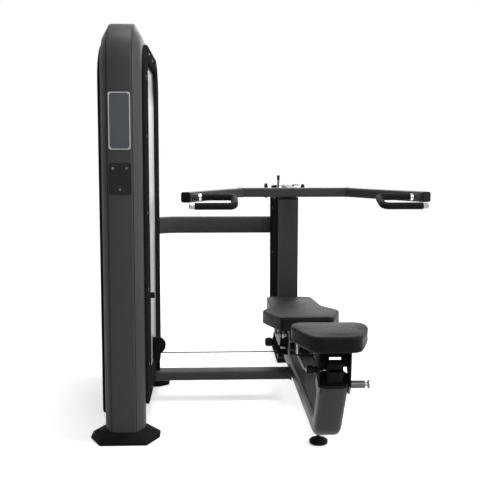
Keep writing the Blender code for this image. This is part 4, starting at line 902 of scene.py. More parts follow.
def slab(name: str, low: Point, high: Point, ease: float) -> Piece:
    """An eased plate.

    Args:
        name: the piece's name.
        low: its lowest corner.
        high: its highest corner.
        ease: the width of its eased edges.

    Returns:
        The plate in its place.
    """
    piece = primitive(bpy.ops.mesh.primitive_cube_add, name, size=1.0, location=(Vector(high) + Vector(low)) / 2)
    piece.scale = Vector(high) - Vector(low)
    bpy.ops.object.transform_apply(location=True, rotation=True, scale=True)
    return settle(bevelled(piece, ease))


def rounded_loop(width: float, height: float, radius: float, steps: int = 4) -> list[Pair]:
    """Points round a rectangle with round corners.

    Args:
        width: the side along the first axis.
        height: the side along the second axis.
        radius: the corners' radius.
        steps: steps in each corner.

    Returns:
        The points, about the origin.
    """
    points = []
    for corner, (sx, sy) in enumerate(((1, 1), (-1, 1), (-1, -1), (1, -1))):
        for step in range(steps + 1):
            angle = math.pi / 2 * (corner + step / steps)
            points.append((sx * (width / 2 - radius) + radius * math.cos(angle),
                           sy * (height / 2 - radius) + radius * math.sin(angle)))
    return points


def middle(name: str) -> Vector:
    """The middle of a node's box."""
    low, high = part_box(name)
    return (low + high) / 2


# The camera, the lights and the floor


@dataclass(frozen=True)
class Lamp:
    """A square soft lamp: its place, what it faces, its side in metres and its watts."""

    name: str
    place: Place
    target: Place
    size: float
    power: float

    def hang(self) -> None:
        """Hang the lamp in the scene."""
        data = bpy.data.lights.new(self.name, "AREA")
        data.energy = self.power
        data.size = self.size
        lamp = linked(self.name, data)
        lamp.location = self.place
        lamp.rotation_euler = (Vector(self.target) - Vector(self.place)).to_track_quat("-Z", "Y").to_euler()


@dataclass(frozen=True)
class Studio:
    """Plain pale floor, soft light and the photograph's camera."""

    camera_place: Place = (0.355, -3.2225, 1.164)
    pitch: float = 0.102
    yaw: float = 0.039
    focal_pixels: float = 787.6
    image_pixels: float = 480.0
    floor_reach: float = 60.0
    floor_middle: Pair = (0.5, 0.5)
    sky_level: float = 0.09
    glow_near: float = 0.5
    glow_far: float = 0.93
    glow_reach: Pair = (1.2, 6.0)
    lamps: tuple[Lamp, ...] = (
        Lamp("key_lamp", (1.5, -3.8, 3.1), (0.3, 0.2, 0.8), 2.4, 72.0),
        Lamp("side_lamp", (4.6, -0.4, 2.4), (0.4, 0.4, 0.9), 2.0, 165.0),
        Lamp("top_lamp", (0.4, 0.2, 4.4), (0.5, 0.3, 0.5), 1.7, 116.0),
        Lamp("rear_lamp", (0.9, 4.8, 3.0), (0.4, 0.6, 0.9), 2.4, 70.0),
    )

    def build(self) -> None:
        """Set the camera, the world, the floor and the lamps."""
        self.set_camera()
        self.set_world()
        self.lay_floor()
        for lamp in self.lamps:
            lamp.hang()

    def set_camera(self) -> None:
        """Stand the camera where the photograph's was."""
        data = bpy.data.cameras.new("photo_camera")
        data.sensor_width = 36.0
        data.lens = self.focal_pixels / self.image_pixels * data.sensor_width
        data.clip_end = 100.0
        camera = linked("photo_camera", data)
        camera.location = self.camera_place
        camera.rotation_euler = (math.pi / 2 - self.pitch, 0.0, -self.yaw)
        bpy.context.scene.camera = camera

    def seen(self, net: Graph) -> Socket:
        """Tell rays that are seen from the light itself.

        Args:
            net: the tree to work in.

        Returns:
            One for camera, glossy and transmission rays, and zero for others.
        """
        rays = net.add("LightPath", {}).outputs
        first = net.calc("ADD", rays["Is Camera Ray"], rays["Is Glossy Ray"])
        return net.calc("ADD", first, rays["Is Transmission Ray"], clamp=True)

    def set_world(self) -> None:
        """White to the eye and in reflections, softer as light."""
        world = bpy.data.worlds.new("studio_world")
        world.use_nodes = True
        net = Graph(world.node_tree)
        back = net.tree.nodes["Background"].inputs
        level = net.add("MapRange", {"Value": self.seen(net), "To Min": self.sky_level, "To Max": 1.0})
        back["Color"].default_value = (1.0, 1.0, 1.0, 1.0)
        net.tree.links.new(level.outputs["Result"], back["Strength"])
        bpy.context.scene.world = world
        bpy.context.scene.view_settings.view_transform = "Standard"

    def lay_floor(self) -> None:
        """A wide pale floor, white to the eye, that keeps the shadow."""
        floor = primitive(bpy.ops.mesh.primitive_plane_add, "studio_floor", size=self.floor_reach,
                          location=(*self.floor_middle, -0.0005))
        settle(floor)
        sheet = Sheet("studio_floor_paint", 0.9, 0.0, 0.1)
        cloud = sheet.effect(clouds(1.5, low=0.2, high=0.8))["Mask"]
        sheet.wire(sheet.tint(cloud, (0.86, 0.86, 0.86), (0.88, 0.88, 0.88)), "Base Color")
        away = sheet.add("VectorMath", {0: sheet.coords, 1: (*self.floor_middle, 0.0)}, operation="DISTANCE")
        near, far = self.glow_reach
        fade = sheet.add("MapRange", {"Value": away.outputs["Value"], "From Min": near, "From Max": far,
                                      "To Min": self.glow_near, "To Max": self.glow_far},
                         interpolation_type="SMOOTHSTEP").outputs["Result"]
        glow = sheet.add("Emission", {"Strength": sheet.calc("MULTIPLY", self.seen(sheet), fade)})
        both = sheet.add("AddShader", {0: sheet.shader.outputs["BSDF"], 1: glow.outputs["Emission"]})
        sheet.tree.links.new(both.outputs["Shader"], sheet.tree.nodes["Material Output"].inputs["Surface"])
        floor.data.materials.append(sheet.material)


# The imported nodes


NODE_PAINTS: dict[Paint, tuple[str, ...]] = {
    # The lower rail takes the lighter tower coat as a painted highlight on its top.
    Paint.TOWER_LIT: ("tower_frame", "tower_base", "upper_brace", "lower_rail"),
    # The web's darker coat is painted shade.
    Paint.WEB_SHADED: ("bench_web",),
    Paint.STEEL: ("seat_pin_knob", "handle_left", "handle_right"),
    Paint.COAT: ("bench_beam", "column_post", "column_spine", "press_yoke", "press_stem"),
    Paint.SHROUD: ("bench_side_shroud", "outer_shroud", "column_cover_left", "column_cover_right"),
    Paint.PANEL: ("window_panel",),
    Paint.ENAMEL: ("notice_plate",),
    Paint.CAST: ("near_foot", "far_foot", "column_foot", "pivot_housing", "drive_cam", "seat_carriage", "back_bracket"),
    Paint.WEIGHT: ("head_plate", *(f"weight_plates_{i}" for i in range(1, 7))),
    Paint.CHROME: ("guide_rod_near", "guide_rod_far", "selector_stem", "pivot_shaft"),
    Paint.ZINC: ("pulley_hanger",),
    Paint.DARK_ZINC: ("back_frame", "start_lever"),
    Paint.RUBBER: ("stack_bumper_near", "stack_bumper_far", "bench_foot"),
    Paint.GRIP: ("grip_left", "grip_right"),
    Paint.COVER: ("accessory_plate",),
    Paint.PLASTIC: ("leg_cap", "arm_end_cap_left", "arm_end_cap_right", "selector_pin", "back_pin_knob",
                    "top_pulley", "lower_pulley", "bench_pulley", "column_pulley"),
    Paint.CABLE: ("stack_cable", "drive_cable"),
    Paint.VINYL: ("seat_pad", "back_pad"),
}

EASED_WIDTHS: dict[float, tuple[str, ...]] = {
    0.0015: ("tower_frame", "tower_base", "near_foot", "far_foot", "lower_rail", "bench_beam", "bench_web",
             "column_post", "column_spine", "column_foot", "upper_brace", "press_yoke", "press_stem"),
    0.0008: ("leg_cap", "seat_carriage", "pivot_housing", "pivot_shaft", "drive_cam", "start_lever", "back_bracket",
             "back_frame", "back_pin_knob", "seat_pin_knob", "bench_foot", "handle_left", "handle_right",
             "grip_left", "grip_right", "arm_end_cap_left", "arm_end_cap_right", "lower_pulley", "bench_pulley",
             "column_pulley", "top_pulley", "pulley_hanger", "column_cover_left", "column_cover_right",
             "bench_side_shroud", "outer_shroud", "window_panel"),
}

# The faces of a node that the real one makes in another finish
SECOND_PAINTS: dict[str, tuple[Paint, Callable[[Vector], bool]]] = {
    "lower_rail": (Paint.CAST, lambda at: at.x < 0.16 and at.z > 0.1535),
    "pivot_shaft": (Paint.CAST, lambda at: abs(at.x - BENCH_X) > 0.0985),
    "back_bracket": (Paint.ZINC, lambda at: at.y < 0.4275 and at.z > 0.262 and abs(at.x - BENCH_X) > 0.03),
    "pivot_housing": (Paint.ZINC, lambda at: at.x > BENCH_X + 0.056),
    "bench_beam": (Paint.DARK_ZINC, lambda at: at.y < -0.42 and abs(at.x - BENCH_X) > 0.0525),
}


def dress_nodes() -> int:
    """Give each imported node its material.

    Returns:
        How many nodes there are.
    """
    for paint, names in NODE_PAINTS.items():
        for name in names:
            materials = frame["nodes"][name].data.materials
            materials.clear()
            materials.append(paint.material)
    return sum(len(names) for names in NODE_PAINTS.values())


@dataclass(frozen=True)
class EasedShapes:
    """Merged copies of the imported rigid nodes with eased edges, each in its node's place."""

    sharp: float = math.radians(32.0)
    flat: float = math.radians(0.6)

    def build(self) -> int:
        """Ease every listed node.

        Returns:
            How many nodes there are.
        """
        record = frame["record"]
        carriers = {node: body for body, nodes in record["behaviour"]["bodies"].items() for node in nodes}
        for width, names in EASED_WIDTHS.items():
            for name in names:
                piece = merged_copy(name, name + "_eased", flat=self.flat)
                self.ease(piece, width)
                self.second_paint(piece, name)
                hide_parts(name)
                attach(piece, carriers[name])
        return sum(len(names) for names in EASED_WIDTHS.values())

    def ease(self, piece: Piece, width: float) -> None:
        """Bevel the sharp edges and let the faces beside them keep their shade.

        Args:
            piece: the merged copy.
            width: the bevel's width.
        """
        take(piece)
        bpy.ops.object.shade_smooth_by_angle(angle=self.sharp)
        modified(piece, "BEVEL", width=width, segments=2, limit_method="ANGLE", angle_limit=self.sharp,
                 harden_normals=True)

    def second_paint(self, piece: Piece, name: str) -> None:
        """Paint the faces that are made in another finish.

        Args:
            piece: the eased copy.
            name: its node.
        """
        if name in SECOND_PAINTS:
            paint, test = SECOND_PAINTS[name]
            piece.data.materials.append(paint.material)
            for face in piece.data.polygons:
                if test(face.center):
                    face.material_index = 1


@dataclass(frozen=True)
class Cushion:
    """One upholstered pad: a simulated cover, and welts along its seams."""

    node: str
    body: Body
    tilt: float
    thickness: float
    voxel: float = 0.006
    board: float = 0.007
    pressure: float = 1.6
    stiffness: float = 40
    bending: float = 8.0
    fabric_mass: float = 0.3
    frames: int = 20
    swell: Pair = (-0.0015, 0.004)
    evening: int = 14
    base_seam: float = 0.012
    seam_reach: float = 0.006
    top_press: float = 0.0016
    base_press: float = 0.0012
    # A normal that points further up or down than this isn't on the pad's side
    side_limit: float = 0.75

    @property
    def up(self) -> Vector:
        """The pad's own upward direction."""
        return Vector((0, math.sin(self.tilt), math.cos(self.tilt)))

    @property
    def top_seam(self) -> float:
        """How high the upper seam lies over the underside."""
        return self.thickness * 0.80

    def build(self) -> None:
        """Make the cover and its welts, and stand them for the CAD pad."""
        cover = self.cover()
        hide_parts(self.node)
        dressed(cover, Paint.VINYL, self.body)
        base = self.base_height(cover.data)
        for label, height, radius in (("_top_welt", self.top_seam, 0.0016), ("_base_welt", self.base_seam, 0.0013)):
            welt = cut_line(cover, self.node + label, self.up * (base + height), self.up, radius, 2)
            dressed(welt, Paint.WELT, self.body)

    def base_height(self, mesh: bpy.types.Mesh) -> float:
        """How far the pad's underside lies along its upward direction."""
        return min(vertex.co.dot(self.up) for vertex in mesh.vertices)

    def cover(self) -> Piece:
        """Copy the pad's solid, remesh it, swell it as cloth and press its seams.

        Returns:
            The cover, smooth and in its place.
        """
        cover = merged_copy(self.node, self.node + "_cover", 0.00005)
        modified(cover, "REMESH", mode="VOXEL", voxel_size=self.voxel)
        rest = [(vertex.co.copy(), vertex.normal.copy()) for vertex in cover.data.vertices]
        self.inflate(cover)
        self.limit(cover, rest)
        self.press_seams(cover)
        modified(cover, "SUBSURF", levels=1, render_levels=1)
        return settle(cover, ROUND)

    def inflate(self, cover: Piece) -> None:
        """Run the cloth under pressure, its underside held by the board.

        Args:
            cover: the remeshed copy.
        """
        base = self.base_height(cover.data)
        held = cover.vertex_groups.new(name="board")
        held.add([v.index for v in cover.data.vertices if v.co.dot(self.up) < base + self.board], 1.0, "REPLACE")
        cloth = cover.modifiers.new("cover_cloth", "CLOTH")
        cloth.settings.quality = 6
        cloth.settings.mass = self.fabric_mass
        cloth.settings.tension_stiffness = self.stiffness
        cloth.settings.compression_stiffness = self.stiffness
        cloth.settings.bending_stiffness = self.bending
        cloth.settings.use_pressure = True
        cloth.settings.uniform_pressure_force = self.pressure
        cloth.settings.effector_weights.gravity = 0.0
        cloth.settings.vertex_group_mass = held.name
        cloth.point_cache.frame_start = 1
        cloth.point_cache.frame_end = self.frames
        for step in range(1, self.frames + 1):
            bpy.context.scene.frame_set(step)
        take(cover)
        bpy.ops.object.modifier_apply(modifier=cloth.name)
        bpy.context.scene.frame_set(1)

    def limit(self, cover: Piece, rest: Sequence[tuple[Vector, Vector]]) -> None:
        """Keep the swell even over the firm foam, and within its cap.

        Args:
            cover: the swollen cover.
            rest: each point's place and normal before it swelled.
        """
        least, most = self.swell
        swell = [max(least, min(most, (vertex.co - start).dot(normal)))
                 for vertex, (start, normal) in zip(cover.data.vertices, rest)]
        pairs = [tuple(edge.vertices) for edge in cover.data.edges]
        for _ in range(self.evening):
            total, count = list(swell), [1] * len(swell)
            for a, b in pairs:
                total[a] += swell[b]
                total[b] += swell[a]
                count[a] += 1
                count[b] += 1
            swell = [value / number for value, number in zip(total, count)]
        for vertex, (start, normal), rise in zip(cover.data.vertices, rest, swell):
            vertex.co = start + normal * rise

    def press_seams(self, cover: Piece) -> None:
        """Pull the cover in where its panels are sewn together.

        Args:
            cover: the swollen cover.
        """
        base = self.base_height(cover.data)
        cover.data.update()
        for vertex in cover.data.vertices:
            height = vertex.co.dot(self.up) - base
            for seam, depth in ((self.top_seam, self.top_press), (self.base_seam, self.base_press)):
                near = 1.0 - abs(height - seam) / self.seam_reach
                if near > 0 and abs(vertex.normal.dot(self.up)) < self.side_limit:
                    vertex.co -= vertex.normal * depth * near


# Fittings of the machine's sub-assemblies


@dataclass(frozen=True)
class TowerTrim:
    """Border, seams, screws, bolts, welds and collars of the weight tower."""

    border_margin: float = 0.007
    border_corner: float = 0.006
    border_radius: float = 0.0016
    seam_x: float = 0.0512
    seam_radius: float = 0.0010
    rivet_inset: float = 0.009
    plate_screws: Outline = ((-0.0283, 1.1283), (0.0259, 1.1283), (-0.0015, 1.0433))
    shroud_x: float = 0.098
    # The height, the socket's turn and the places along y of each row of screws
    shroud_rows: tuple[tuple[float, float, tuple[float, ...]], ...] = (
        (0.30, 0.0, (0.066, 0.827)), (0.62, 0.2, (0.066, 0.827)), (0.94, 0.4, (0.066, 0.827)),
        (1.26, 0.6, (0.066, 0.827)), (1.50, 0.8, (0.066, 0.827)),
        (1.612, 0.4, (0.24, 0.4465, 0.65)), (0.160, 0.1, (0.20, 0.40, 0.68)))
    foot_x: float = 0.117
    foot_y: Pair = (0.012, 0.827)
    foot_top: float = 0.0245
    foot_lean: float = 0.4
    weld_corner: float = 0.008
    weld_radius: float = 0.0032
    weld_inset: float = 0.0015
    collar_drop: float = 0.0125

    def build(self) -> None:
        """Build every piece of the tower's trim."""
        self.notice_border()
        self.frame_seams()
        self.upright_screws()
        self.shroud_screws()
        self.foot_bolts()
        self.base_welds()
        self.rod_collars()

    def notice_border(self) -> None:
        """A pale raised border round the blank plate."""
        low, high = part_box("notice_plate")
        centre = (low + high) / 2
        loop = rounded_loop(high.x - low.x - self.border_margin, high.z - low.z - self.border_margin,
                            self.border_corner)
        points = [(centre.x + u, low.y + SUNK, centre.z + v) for u, v in loop]
        dressed(bead("notice_border", points, self.border_radius), Paint.BORDER)

    def frame_seams(self) -> None:
        """A dark joint line down each side of the frame's outer face, cut from its own surface."""
        for label, side in SIDES:
            seam = cut_line(bpy.data.objects["tower_frame_eased"], f"frame_seam_{label}", (side * self.seam_x, 0, 0),
                            RIGHT, self.seam_radius, 1)
            dressed(seam, Paint.RUBBER)

    def upright_screws(self) -> None:
        """Rivets of the blank plate and three screws of the black one."""
        low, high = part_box("notice_plate")
        inset = self.rivet_inset
        rivet = turned("notice_rivet", [(0.0030, -0.0003), (0.0030, 0.0006), (0.0022, 0.0013), (0.0009, 0.0017)], 14)
        placed(rivet, [aim((x, low.y, z), NEAR) for x in (low.x + inset, high.x - inset)
                       for z in (low.z + inset, high.z - inset)], Paint.ZINC)
        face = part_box("accessory_plate")[0].y
        placed(screw("accessory_screw", 0.0055, 0.0032), [aim((x, face, z), NEAR, 0.3) for x, z in self.plate_screws],
               Paint.DARK_ZINC)

    def shroud_screws(self) -> None:
        """Low screws round both covers."""
        placed(screw("shroud_screw", 0.0058, 0.0026),
               [aim((side * (self.shroud_x - SUNK), y, z), (side, 0, 0), spin)
                for _, side in reversed(SIDES) for z, spin, row in self.shroud_rows for y in row])

    def foot_bolts(self) -> None:
        """Two bolts on the slopes of each foot."""
        spots = [aim((x, y, self.foot_top), (math.copysign(self.foot_lean, x), 0, 1))
                 for x in (-self.foot_x, self.foot_x) for y in self.foot_y]
        placed(bolt("foot_bolt", 0.0075, 0.008), spots, Paint.CAST)

    def base_welds(self) -> None:
        """Beads where the tower's cross member meets the uprights."""
        low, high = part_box("tower_base")
        loop = rounded_loop(high.x - low.x, high.z - low.z, self.weld_corner)
        mid_z = (low.z + high.z) / 2
        for label, y in (("near", low.y + self.weld_inset), ("far", high.y - self.weld_inset)):
            dressed(bead(f"base_weld_{label}", [(u, y, mid_z + v) for u, v in loop], self.weld_radius))

    def rod_collars(self) -> None:
        """Clamp collars of the rods under the frame's top."""
        profile = [(0.0175, 0.0), (0.0185, 0.001), (0.0185, 0.011), (0.0175, 0.012)]
        rods = ("guide_rod_near", "guide_rod_far")
        spots = [aim((0, middle(rod).y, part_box(rod)[1].z - self.collar_drop), UP) for rod in rods]
        placed(turned("rod_collar", profile), spots, Paint.ZINC)


@dataclass(frozen=True)
class StackTrim:
    """The lift cable, the pin-hole rims and the stem's ferrule and bolts."""

    full_lift: float = 0.14954
    face_x: float = 0.056
    plate: float = 0.0254
    pinned: tuple[int, int] = (2, 2)
    bush: Pair = (0.0068, 0.0012)
    bush_flat: float = 0.0004
    head_bolt_x: float = 0.034
    ferrule: Outline = (
        (0.0085, -0.012), (0.0085, -0.010), (0.0120, -0.010), (0.0120, -0.003), (0.0065, -0.002),
        (0.0065, 0.022), (0.0058, 0.024), (0.0046, 0.052), (0.0042, 0.055))

    def build(self) -> None:
        """Build the stack's fittings."""
        self.lift_cable()
        self.hole_rims()
        placed(turned("stack_ferrule", self.ferrule, 16), [aim((0, STACK_Y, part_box("selector_stem")[1].z), UP)],
               Paint.ZINC, Body.STACK)
        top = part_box("head_plate")[1].z
        placed(bolt("head_bolt", 0.007, 0.007),
               [aim((x, STACK_Y, top), UP) for x in (-self.head_bolt_x, self.head_bolt_x)], Paint.ZINC, body=Body.STACK)

    def lift_cable(self) -> None:
        """The cable over the stack, carried with the lifted stack on its own mesh; the real one shortens as the stack
        rises to the wheel.
        """
        cable = settle(merged_copy("stack_cable", "stack_cable_run"), 50.0)
        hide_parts("stack_cable")
        dressed(cable, Paint.CABLE, Body.STACK)
        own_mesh(cable)

    def hole_rims(self) -> None:
        """A pale bush round every pin hole that holds no pin."""
        moving, resting = [], []
        for group in range(1, 7):
            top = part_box(f"weight_plates_{group}")[1].z
            for number in range(3):
                if (group, number) != self.pinned:
                    spot = aim((self.face_x, STACK_Y, top - (number + 0.5) * self.plate), RIGHT)
                    (moving if group <= self.pinned[0] else resting).append(spot)
        for label, spots, body in (("lifted", moving, Body.STACK), ("resting", resting, Body.FRAME)):
            rim = torus(f"pin_bush_{label}", *self.bush, 18, 8)
            with editing(rim, "DESELECT"):
                pick_faces(rim, lambda normal: normal.z > 0.8)
                bpy.ops.transform.translate(value=(0, 0, -self.bush_flat))
            placed(rim, spots, Paint.BORDER, body)


@dataclass(frozen=True)
class WheelCaps:
    """A ring of shallow pockets round the bearing seats of the four cable pulleys."""

    reach: float = 0.0091
    profile: Outline = (
        (0.0165, -0.0006), (0.0165, 0.0006), (0.0150, 0.0011), (0.0128, 0.0011), (0.0122, 0.0004), (0.0100, 0.0004))
    wheels: tuple[tuple[str, Body, Place], ...] = (
        ("top_pulley", Body.TOP_WHEEL, (-0.8838, 0.46789, 0)), ("lower_pulley", Body.LOWER_WHEEL, (0, 1, 0)),
        ("bench_pulley", Body.BENCH_WHEEL, (0, 0, 1)), ("column_pulley", Body.COLUMN_WHEEL, (1, 0, 0)))

    def build(self) -> None:
        """Cap every pulley on both sides."""
        for name, body, axis in self.wheels:
            for side in (-1, 1):
                out = Vector(axis) * side
                cap = turned(name + ("_left_cap" if sum(out) < 0 else "_right_cap"), self.profile, 24)
                placed(cap, [aim(middle(name) + out * self.reach, out)], Paint.CAST, body)


@dataclass(frozen=True)
class BenchTrim:
    """Gaskets, flanges, bolts and threads of the beam and the rail."""

    gasket_x: float = 0.0422
    gasket_half: float = 0.0012
    gasket_start: float = -0.20
    gasket_z: Pair = (0.1825, 0.1885)
    web_gap: float = 0.004
    rail_face: float = BENCH_X - 0.052
    rail_y: float = 0.5385
    rail_half: float = 0.066
    rail_z: Pair = (0.104, 0.150)
    rail_bolt_y: float = 0.056
    rail_bolt_z: float = 0.128
    plate: float = 0.0065
    flange_half: float = 0.0545
    flange_z: Pair = (0.094, 0.262)
    flange_bolt_x: float = 0.0505
    flange_bolt_z: Pair = (0.120, 0.236)
    washer_rise: float = 0.0022
    foot_radius: float = 0.038
    thread_foot: float = 0.032
    thread_pitch: float = 0.003
    thread_turns: int = 18

    def build(self) -> None:
        """Build the bench's fittings."""
        self.web_gaskets()
        self.rail_flange()
        self.beam_flange()
        centre, top = middle("bench_pulley"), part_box("bench_pulley")[1].z
        nut = aim((centre.x, centre.y, top + self.washer_rise), UP)
        placed(bolt("bench_pulley_nut", 0.0085, 0.006), [nut], Paint.ZINC)
        self.foot_thread()

    def web_gaskets(self) -> None:
        """A thin seal between the web and each side of the beam."""
        low, high = self.gasket_z
        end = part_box("bench_web")[1].y - self.web_gap
        for label, side in SIDES:
            x = BENCH_X + side * self.gasket_x
            gasket = slab(f"web_gasket_{label}", (x - self.gasket_half, self.gasket_start, low),
                          (x + self.gasket_half, end, high), self.gasket_half / 2)
            dressed(gasket, Paint.RUBBER)

    def rail_flange(self) -> None:
        """The plate and bolts where the cross rail meets the beam."""
        face, y = self.rail_face - self.plate, self.rail_y
        low, high = self.rail_z
        dressed(slab("rail_flange", (face, y - self.rail_half, low),
                     (self.rail_face - 0.0004, y + self.rail_half, high), 0.0015))
        placed(bolt("rail_bolt", 0.0065, 0.007),
               [aim((face, y + dy, self.rail_bolt_z), LEFT) for dy in (-self.rail_bolt_y, self.rail_bolt_y)])

    def beam_flange(self) -> None:
        """The bolted plate where the beam meets the column."""
        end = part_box("bench_beam")[1].y
        face = end - 0.009
        low, high = self.flange_z
        dressed(slab("beam_flange", (BENCH_X - self.flange_half, face, low),
                     (BENCH_X + self.flange_half, end - 0.0005, high), 0.002))
        placed(screw("beam_flange_bolt", 0.0035, 0.004),
               [aim((BENCH_X + x, face, z), NEAR) for x in (-self.flange_bolt_x, self.flange_bolt_x)
                for z in self.flange_bolt_z])

    def foot_thread(self) -> None:
        """The turns of the thread over the levelling foot."""
        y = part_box("bench_foot")[0].y + self.foot_radius
        threads = [Matrix.Translation((BENCH_X, y, self.thread_foot + step * self.thread_pitch))
                   for step in range(self.thread_turns)]
        placed(ring("foot_thread", 0.0080, 0.0009, 20, 0.8), threads)


@dataclass(frozen=True)
class SeatTrim:
    """Boss, guard, bolts and knob rings of the seat and its carriage."""

    boss: Place = (BENCH_X - 0.0595, -0.450, 0.408)
    boss_profile: Outline = (
        (0.0120, -0.0003), (0.0120, 0.0145), (0.0165, 0.0150), (0.0178, 0.0165), (0.0178, 0.0355),
        (0.0160, 0.0390), (0.0105, 0.0390), (0.0090, 0.0375))
    boss_length: float = 0.0378
    bar_drop: float = 0.0697
    guard_x: Pair = (-0.0530, -0.0170)
    guard_y: Pair = (-0.4560, -0.4480)
    guard_z: Pair = (-0.0125, 0.0010)
    plate: float = 0.0068
    bolt_x: float = 0.0700
    bolt_y: Pair = (-0.490, -0.352)
    ring_start: float = 0.0022
    ring_pitch: float = 0.0021

    def build(self) -> None:
        """Build the seat's fittings."""
        x, y, z = self.boss
        placed(turned("carriage_boss", self.boss_profile, 24), [aim((x, y, z), LEFT)],
               Paint.PLASTIC, Body.SEAT)
        placed(bolt("boss_screw", 0.0055, 0.005), [aim((x - self.boss_length, y, z), LEFT)],
               Paint.ZINC, body=Body.SEAT)
        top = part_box("seat_carriage")[1].z
        low, high = zip(self.guard_x, self.guard_y, self.guard_z)
        bar = Vector((BENCH_X, 0, top - self.bar_drop))
        dressed(slab("slide_guard", bar + Vector(low), bar + Vector(high), 0.0012), Paint.CAST, Body.SEAT)
        spots = [aim((BENCH_X + dx, at, top - self.plate), DOWN) for dx in (-self.bolt_x, self.bolt_x)
                 for at in self.bolt_y]
        placed(screw("seat_bolt", 0.0065, 0.004), spots, Paint.ZINC, body=Body.SEAT)
        centre, end = middle("seat_pin_knob"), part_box("seat_pin_knob")[1].x - self.ring_start
        rings = [aim((end - self.ring_pitch * i, centre.y, centre.z), RIGHT) for i in range(2)]
        placed(ring("seat_knob_ring", 0.0163, 0.0008, 24, 0.9), rings, Paint.STEEL, Body.SEAT_PIN)


@dataclass(frozen=True)
class BackTrim:
    """Bolts, knob rings, gusset and painted-highlight strips of the back rest."""

    pivot: Pair = (0.390, 0.335)
    hinge_x: float = 0.0465
    pin: Pair = (0.450, 0.300)
    ring_start: float = 0.010
    ring_pitch: float = 0.005
    gusset_y: Pair = (0.4165, 0.4284)
    wings: tuple[tuple[str, Outline], ...] = (
        ("left", ((0.6598, 0.3465), (0.6870, 0.3465), (0.6905, 0.3350), (0.6852, 0.2918), (0.6790, 0.2918))),
        ("right", ((0.6950, 0.3465), (0.7190, 0.3465), (0.7190, 0.3330), (0.6978, 0.3230), (0.6940, 0.3300))),
        ("foot", ((0.6860, 0.2860), (0.7120, 0.2800), (0.7150, 0.2740), (0.6900, 0.2740))))
    # Where the bright strips that paint the web's top-edge highlight lie, across and along
    highlight_strip_x: Pair = (0.0335, 0.0412)
    highlight_strip_ends: Pair = (0.112, 0.640)
    highlight_strip_gap: float = 0.003
    highlight_strip_height: float = 0.0052
    bracket_x: float = 0.024
    bracket_y: Pair = (0.362, 0.474)
    bracket_plate: float = 0.006

    def build(self) -> None:
        """Build the back rest's fittings."""
        placed(bolt("back_hinge_bolt", 0.0085, 0.006),
               [aim((BENCH_X + side * self.hinge_x, *self.pivot), (side, 0, 0)) for _, side in SIDES])
        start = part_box("back_pin_knob")[0].x + self.ring_start
        rings = [aim((start + self.ring_pitch * i, *self.pin), RIGHT) for i in range(4)]
        placed(ring("back_knob_ring", 0.0203, 0.0010, 28, 0.9), rings, Paint.PLASTIC, Body.BACK_PIN)
        self.folded_gusset()
        self.highlight_strips()
        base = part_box("back_bracket")[0].z + self.bracket_plate
        placed(bolt("bracket_bolt", 0.006, 0.0055),
               [aim((BENCH_X + x, y, base), UP) for x in (-self.bracket_x, self.bracket_x) for y in self.bracket_y])

    def folded_gusset(self) -> None:
        """A bright sheet folded to a V on the pin housing's near face."""
        near, far = self.gusset_y
        for label, outline in self.wings:
            wing = primitive(bpy.ops.mesh.primitive_circle_add, f"gusset_{label}", vertices=len(outline), radius=0.01,
                             fill_type="NGON")
            for vertex, (x, z) in zip(wing.data.vertices, outline):
                vertex.co = (x, near, z)
            with editing(wing):
                bpy.ops.mesh.extrude_region_move(TRANSFORM_OT_translate={"value": (0, far - near, 0)})
                bpy.ops.mesh.select_all(action="SELECT")
                bpy.ops.mesh.normals_make_consistent(inside=False)
            dressed(settle(bevelled(wing, 0.0008)), Paint.ZINC)

    def highlight_strips(self) -> None:
        """Bright zinc strips along the web's top, before and behind the bracket, that paint the highlight along the
        web's top edge.
        """
        low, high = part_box("back_bracket")
        level = low.z - 0.0003
        first, last = self.highlight_strip_ends
        runs = ((first, low.y - self.highlight_strip_gap), (high.y + self.highlight_strip_gap, last))
        for number, (near, far) in enumerate(runs, 1):
            for label, side in SIDES:
                a, b = sorted(BENCH_X + side * x for x in self.highlight_strip_x)
                highlight_strip = slab(f"web_strip_{label}_{number}", (a, near, level - SUNK),
                             (b, far, level + self.highlight_strip_height), 0.0010)
                dressed(highlight_strip, Paint.ZINC)


